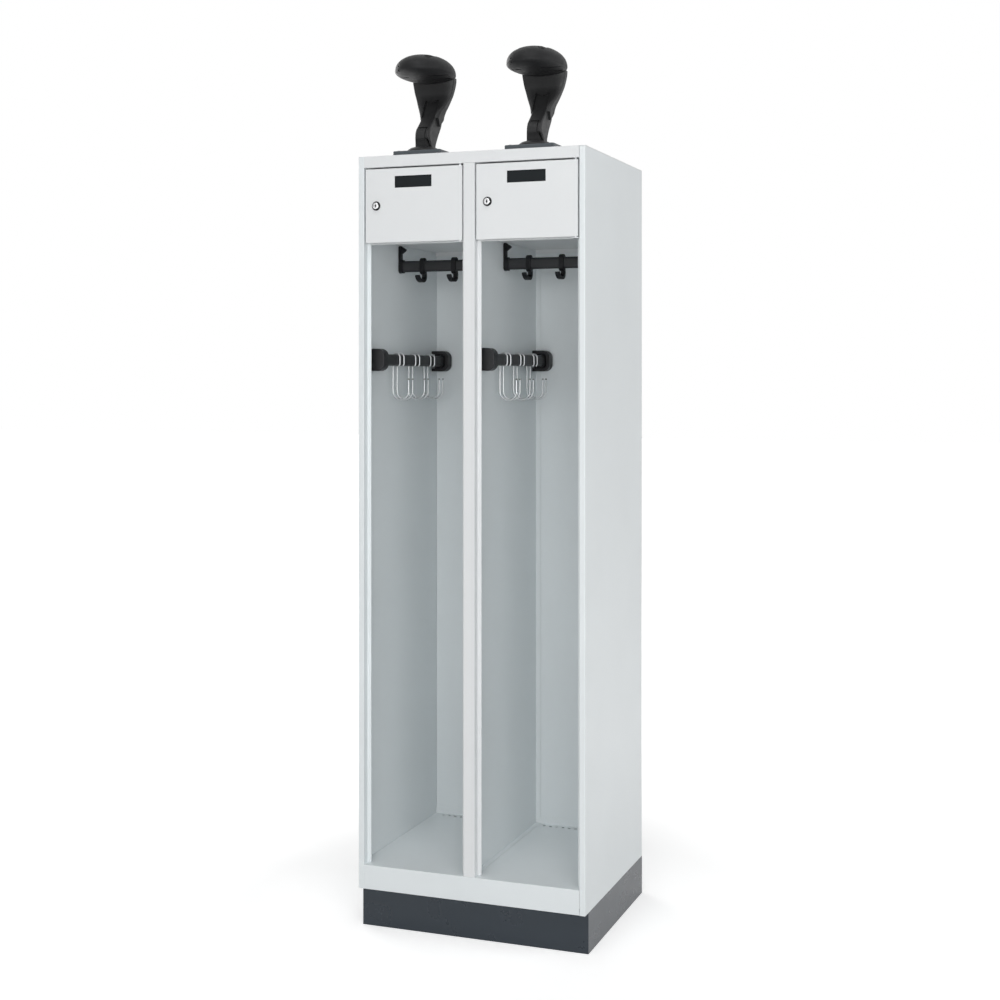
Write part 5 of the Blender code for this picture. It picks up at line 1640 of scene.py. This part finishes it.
@dataclass
class HangerRail(SidePart):
    """The rail along a compartment's wall, its cups and its wire hooks."""

    tube: OvalTube = field(default_factory=OvalTube)
    standoff: float = 0.030         # tube's centre from the wall
    cup_height: float = 0.057
    cup_reach: float = 0.050
    cup_depth: float = 0.030
    cup_corner: float = 0.019
    cup_wall: float = 0.0085
    cup_floor: float = 0.005
    sleeve_length: float = 0.042
    sleeve_wall: float = 0.0040     # at the wall cup
    sleeve_end_wall: float = 0.0018     # at the far end
    sleeve_overrun: float = 0.002
    cup_edge: float = 0.0016
    sleeve_edge: float = 0.0006
    tip_edge: float = 0.001
    wire: float = 0.004
    running: float = 0.0004         # clearance of the wire on the tube
    hook_reach: float = 0.045
    hook_depth: float = 0.103
    hook_tip: float = 0.048
    hook_wrap: float = math.radians(50)
    tip_radius: float = 0.0024
    tip_length: float = 0.0035
    hook_numbers: tuple[int, ...] = (1, 2, 3, 4, 5, 6)

    def centre(self) -> Vector:
        """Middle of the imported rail."""
        return self.middle("hanger_rail")

    def d_outline(self, reach: float, height: float, corner: float, back: float) -> list[Pair]:
        """A D standing on the compartment's wall.

        Args:
            reach: How far it stands out.
            height: Its height.
            corner: Radius of its two corners.
            back: Its flat side's place from the wall.

        Returns:
            The outline.
        """
        wall, z, half = self.centre().x - self.standoff, self.centre().z, height / 2
        upper = arc((wall + reach - corner, z + half - corner), corner, 0, QUARTER, steps=12)
        lower = arc((wall + reach - corner, z + corner - half), corner, -QUARTER, 0, steps=12)
        return upper + [(wall + back, z + half), (wall + back, z - half)] + lower[:-1]

    def cup(self, end: str) -> bpy.types.Object:
        """A wall cup with its tapered sleeve round one end of the tube.

        Args:
            end: front or rear.

        Returns:
            The cup.
        """
        low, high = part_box(self.named("hanger_bracket", end))
        inward = 1 if end == "front" else -1
        face = low.y if end == "front" else high.y
        rim = face + self.cup_depth * inward
        outline = self.d_outline(self.cup_reach, self.cup_height, self.cup_corner, CLEAR)
        cup = Bench.outline(self.named("wall_cup", end), outline, Axis.Y, face, rim)
        Bench.round_edges(cup, self.cup_edge, segments=4)
        inner = self.d_outline(
            self.cup_reach - self.cup_wall, self.cup_height - 2 * self.cup_wall,
            self.cup_corner - self.cup_wall, -OVERRUN,
        )
        floor = face + self.cup_floor * inward
        Bench.carve(cup, Bench.outline("slot", inner, Axis.Y, floor, rim + OVERRUN * inward))
        x, z = self.centre().x, self.centre().z
        root = face + self.cup_floor * inward / 2
        tip = root + self.sleeve_length * inward
        sleeve = self.tube.solid(
            "sleeve", (x, (root + tip) / 2, z), self.sleeve_wall, self.sleeve_length, Axis.Y,
        )
        wide, tall = (
            (size + 2 * self.sleeve_end_wall) / (size + 2 * self.sleeve_wall)
            for size in (self.tube.width, self.tube.height)
        )
        with Bench.editing(sleeve, "VERT"):
            Bench.pick(sleeve, "verts", lambda point: abs(point.y - tip) < CLEAR)
            bpy.ops.transform.resize(value=(wide, 1, tall), center_override=(x, tip, z))
        Bench.round_edges(sleeve, self.sleeve_edge)
        Bench.carve(cup, sleeve, way="UNION")
        depth = self.sleeve_length + self.sleeve_overrun
        bore = self.tube.solid("bore", (x, floor + depth * inward / 2, z), CLEAR, depth, Axis.Y)
        Bench.carve(cup, bore)
        Bench.shade(cup)
        return cup

    def hook_line(self, y: float) -> list[Triple]:
        """The wire's centre line: curl, crown, shank, bow and tip.

        Args:
            y: Where the hook hangs along the rail.

        Returns:
            The points.
        """
        x, z = self.centre().x, self.centre().z
        rise = (self.tube.height - self.tube.width) / 2
        loop = self.tube.width / 2 + self.running + self.wire / 2
        bow = self.hook_reach / 2
        path = arc((0, -rise), loop, -self.hook_wrap, 0, steps=6)
        path += arc((0, rise), loop, 0, math.pi, steps=18)
        path += arc((bow - loop, bow - self.hook_depth), bow, math.pi, TURN, steps=22)
        path.append((self.hook_reach - loop, -self.hook_tip))
        return [(x + across, y, z + up) for across, up in path]

    def build(self, dresser: Dresser) -> None:
        """Make the rail's pieces and dress them.

        Args:
            dresser: Gives the pieces their finish and tells the frame what they are.
        """
        rail = self.named("hanger_rail")
        tube = self.tube.length(self.named("wall_tube"), rail, Axis.Y)
        dresser.piece(tube, "tube", nodes=[rail])
        for end in ("front", "rear"):
            node = self.named("hanger_bracket", end)
            dresser.piece(self.cup(end), "socket", nodes=[node])
        for number in self.hook_numbers:
            node = self.named("s_hook", number)
            low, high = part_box(node)
            line = self.hook_line((low.y + high.y) / 2)
            hook = Bench.wire(self.named("wire_hook", number), line, self.wire / 2)
            Bench.shade(hook)
            dresser.piece(hook, "wire", node, [node])
            x, y, z = line[-1]
            name, place = self.named("wire_tip", number), (x, y, z - self.tip_length / 2)
            tip = Bench.rod(name, place, self.tip_radius, self.tip_length, Axis.Z, sides=16)
            Bench.round_edges(tip, self.tip_edge)
            Bench.shade(tip)
            dresser.piece(tip, "socket", node, [node])


@dataclass
class Studio:
    """Floor, lamps, world and camera: nothing here is part of the locker."""

    eye: Triple = (1.42884, -3.84231, 1.39595)
    yaw: float = 0.358230
    sensor: float = 36.0
    lens: float = 56.545
    shift: float = -0.1241
    floor_size: float = 60.0
    floor_glow: Pair = (0.42, 1.0)      # under the locker and far off
    glow_reach: Pair = (0.7, 2.0)       # from the locker's middle
    sky: float = 0.11
    # Name, place, aim, width and watts of each lamp
    lamps: tuple[tuple[str, Triple, Triple, float, float], ...] = (
        ("front_lamp", (3.6, -5.5, 1.5), (0, 0, 1.0), 4.0, 164),
        ("near_lamp", (1.0, -5.5, 1.7), (0, 0, 1.0), 2.0, 48),
        ("top_lamp", (0.6, -3.0, 6.0), (0, 0, 1.0), 4.0, 126),
        ("right_lamp", (6.5, 0.5, 3.5), (0.3, 0, 1.0), 3.5, 95),
        ("rear_lamp", (-5.0, 4.0, 2.6), (0, 0, 1.1), 4.0, 170),
    )

    def camera(self) -> None:
        """Stand the camera where the photograph was taken."""
        data = bpy.data.cameras.new("photo_camera")
        data.sensor_width = self.sensor
        data.lens = self.lens
        data.shift_y = self.shift
        camera = bpy.data.objects.new("photo_camera", data)
        camera.location = self.eye
        camera.rotation_euler = (QUARTER, 0, self.yaw)
        bpy.context.scene.collection.objects.link(camera)
        bpy.context.scene.camera = camera

    def seen(self, tree: bpy.types.NodeTree) -> bpy.types.NodeSocket:
        """1 for what the camera, a reflection or glass sees, 0 for light on a surface.

        Args:
            tree: The node tree that it stands in.

        Returns:
            The share, 0 or 1.
        """
        path = tree.nodes.new("ShaderNodeLightPath")
        total = path.outputs["Is Camera Ray"]
        for name in ("Is Glossy Ray", "Is Transmission Ray"):
            either = tree.nodes.new("ShaderNodeMath")
            either.operation = "MAXIMUM"
            tree.links.new(total, either.inputs[0])
            tree.links.new(path.outputs[name], either.inputs[1])
            total = either.outputs[0]
        return total

    def world(self) -> None:
        """A white studio that shows as white and lights a little less."""
        world = bpy.data.worlds.new("white_studio")
        bpy.context.scene.world = world
        world.use_nodes = True
        tree = world.node_tree
        level = tree.nodes.new("ShaderNodeMapRange")
        level.inputs["To Min"].default_value = self.sky
        level.inputs["To Max"].default_value = 1.0
        tree.links.new(self.seen(tree), level.inputs["Value"])
        background = tree.nodes["Background"]
        background.inputs["Color"].default_value = (1, 1, 1, 1)
        tree.links.new(level.outputs["Result"], background.inputs["Strength"])

    def floor(self) -> None:
        """A plain white floor that keeps the locker's shadow."""
        bpy.ops.object.select_all(action="DESELECT")
        bpy.ops.mesh.primitive_plane_add(size=self.floor_size, location=(0, 0, 0))
        floor = Bench.seated("studio_floor")
        shader = Shader("studio_white")
        shader.set(Base_Color=(0.93, 0.93, 0.93, 1), Roughness=0.9, Specular_IOR_Level=0.0)
        shader.set(Emission_Color=(1, 1, 1, 1))
        reach = shader.add("ShaderNodeVectorMath", operation="LENGTH")
        shader.join(shader.place, reach.inputs[0])
        glow = shader.add("ShaderNodeMath", operation="MULTIPLY")
        level = shader.between(reach.outputs["Value"], *self.floor_glow, *self.glow_reach)
        shader.join(level, glow.inputs[1])
        shader.join(self.seen(shader.tree), glow.inputs[0])
        shader.join(glow.outputs[0], shader.surface.inputs["Emission Strength"])
        floor.data.materials.append(shader.material)

    def lamp(self, name: str, place: Triple, aim: Triple, size: float, power: float) -> None:
        """Hang a soft square lamp.

        Args:
            name: Name of the lamp.
            place: Where it hangs.
            aim: The point that it faces.
            size: Its width.
            power: Its power in watts.
        """
        data = bpy.data.lights.new(name, "AREA")
        data.size = size
        data.energy = power
        lamp = bpy.data.objects.new(name, data)
        lamp.location = place
        lamp.rotation_euler = (Vector(aim) - Vector(place)).to_track_quat("-Z", "Y").to_euler()
        bpy.context.scene.collection.objects.link(lamp)

    def build(self) -> None:
        """Set up the studio."""
        bpy.context.scene.view_settings.view_transform = "Standard"
        self.camera()
        self.world()
        self.floor()
        for row in self.lamps:
            self.lamp(*row)


def main() -> None:
    """Build the locker's sub-assemblies in order."""
    logging.basicConfig(level=logging.INFO, format="%(name)s: %(message)s")
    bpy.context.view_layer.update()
    Studio().build()
    dresser = Dresser(Finishes().made())
    Carcass().build(dresser)
    for side in Side:
        Shelf(side).build(dresser)
        LockBox(side).build(dresser)
        HookRail(side).build(dresser)
        HangerRail(side).build(dresser)
        HelmetHolder(side).build(dresser)


if __name__ == "__main__":
    main()
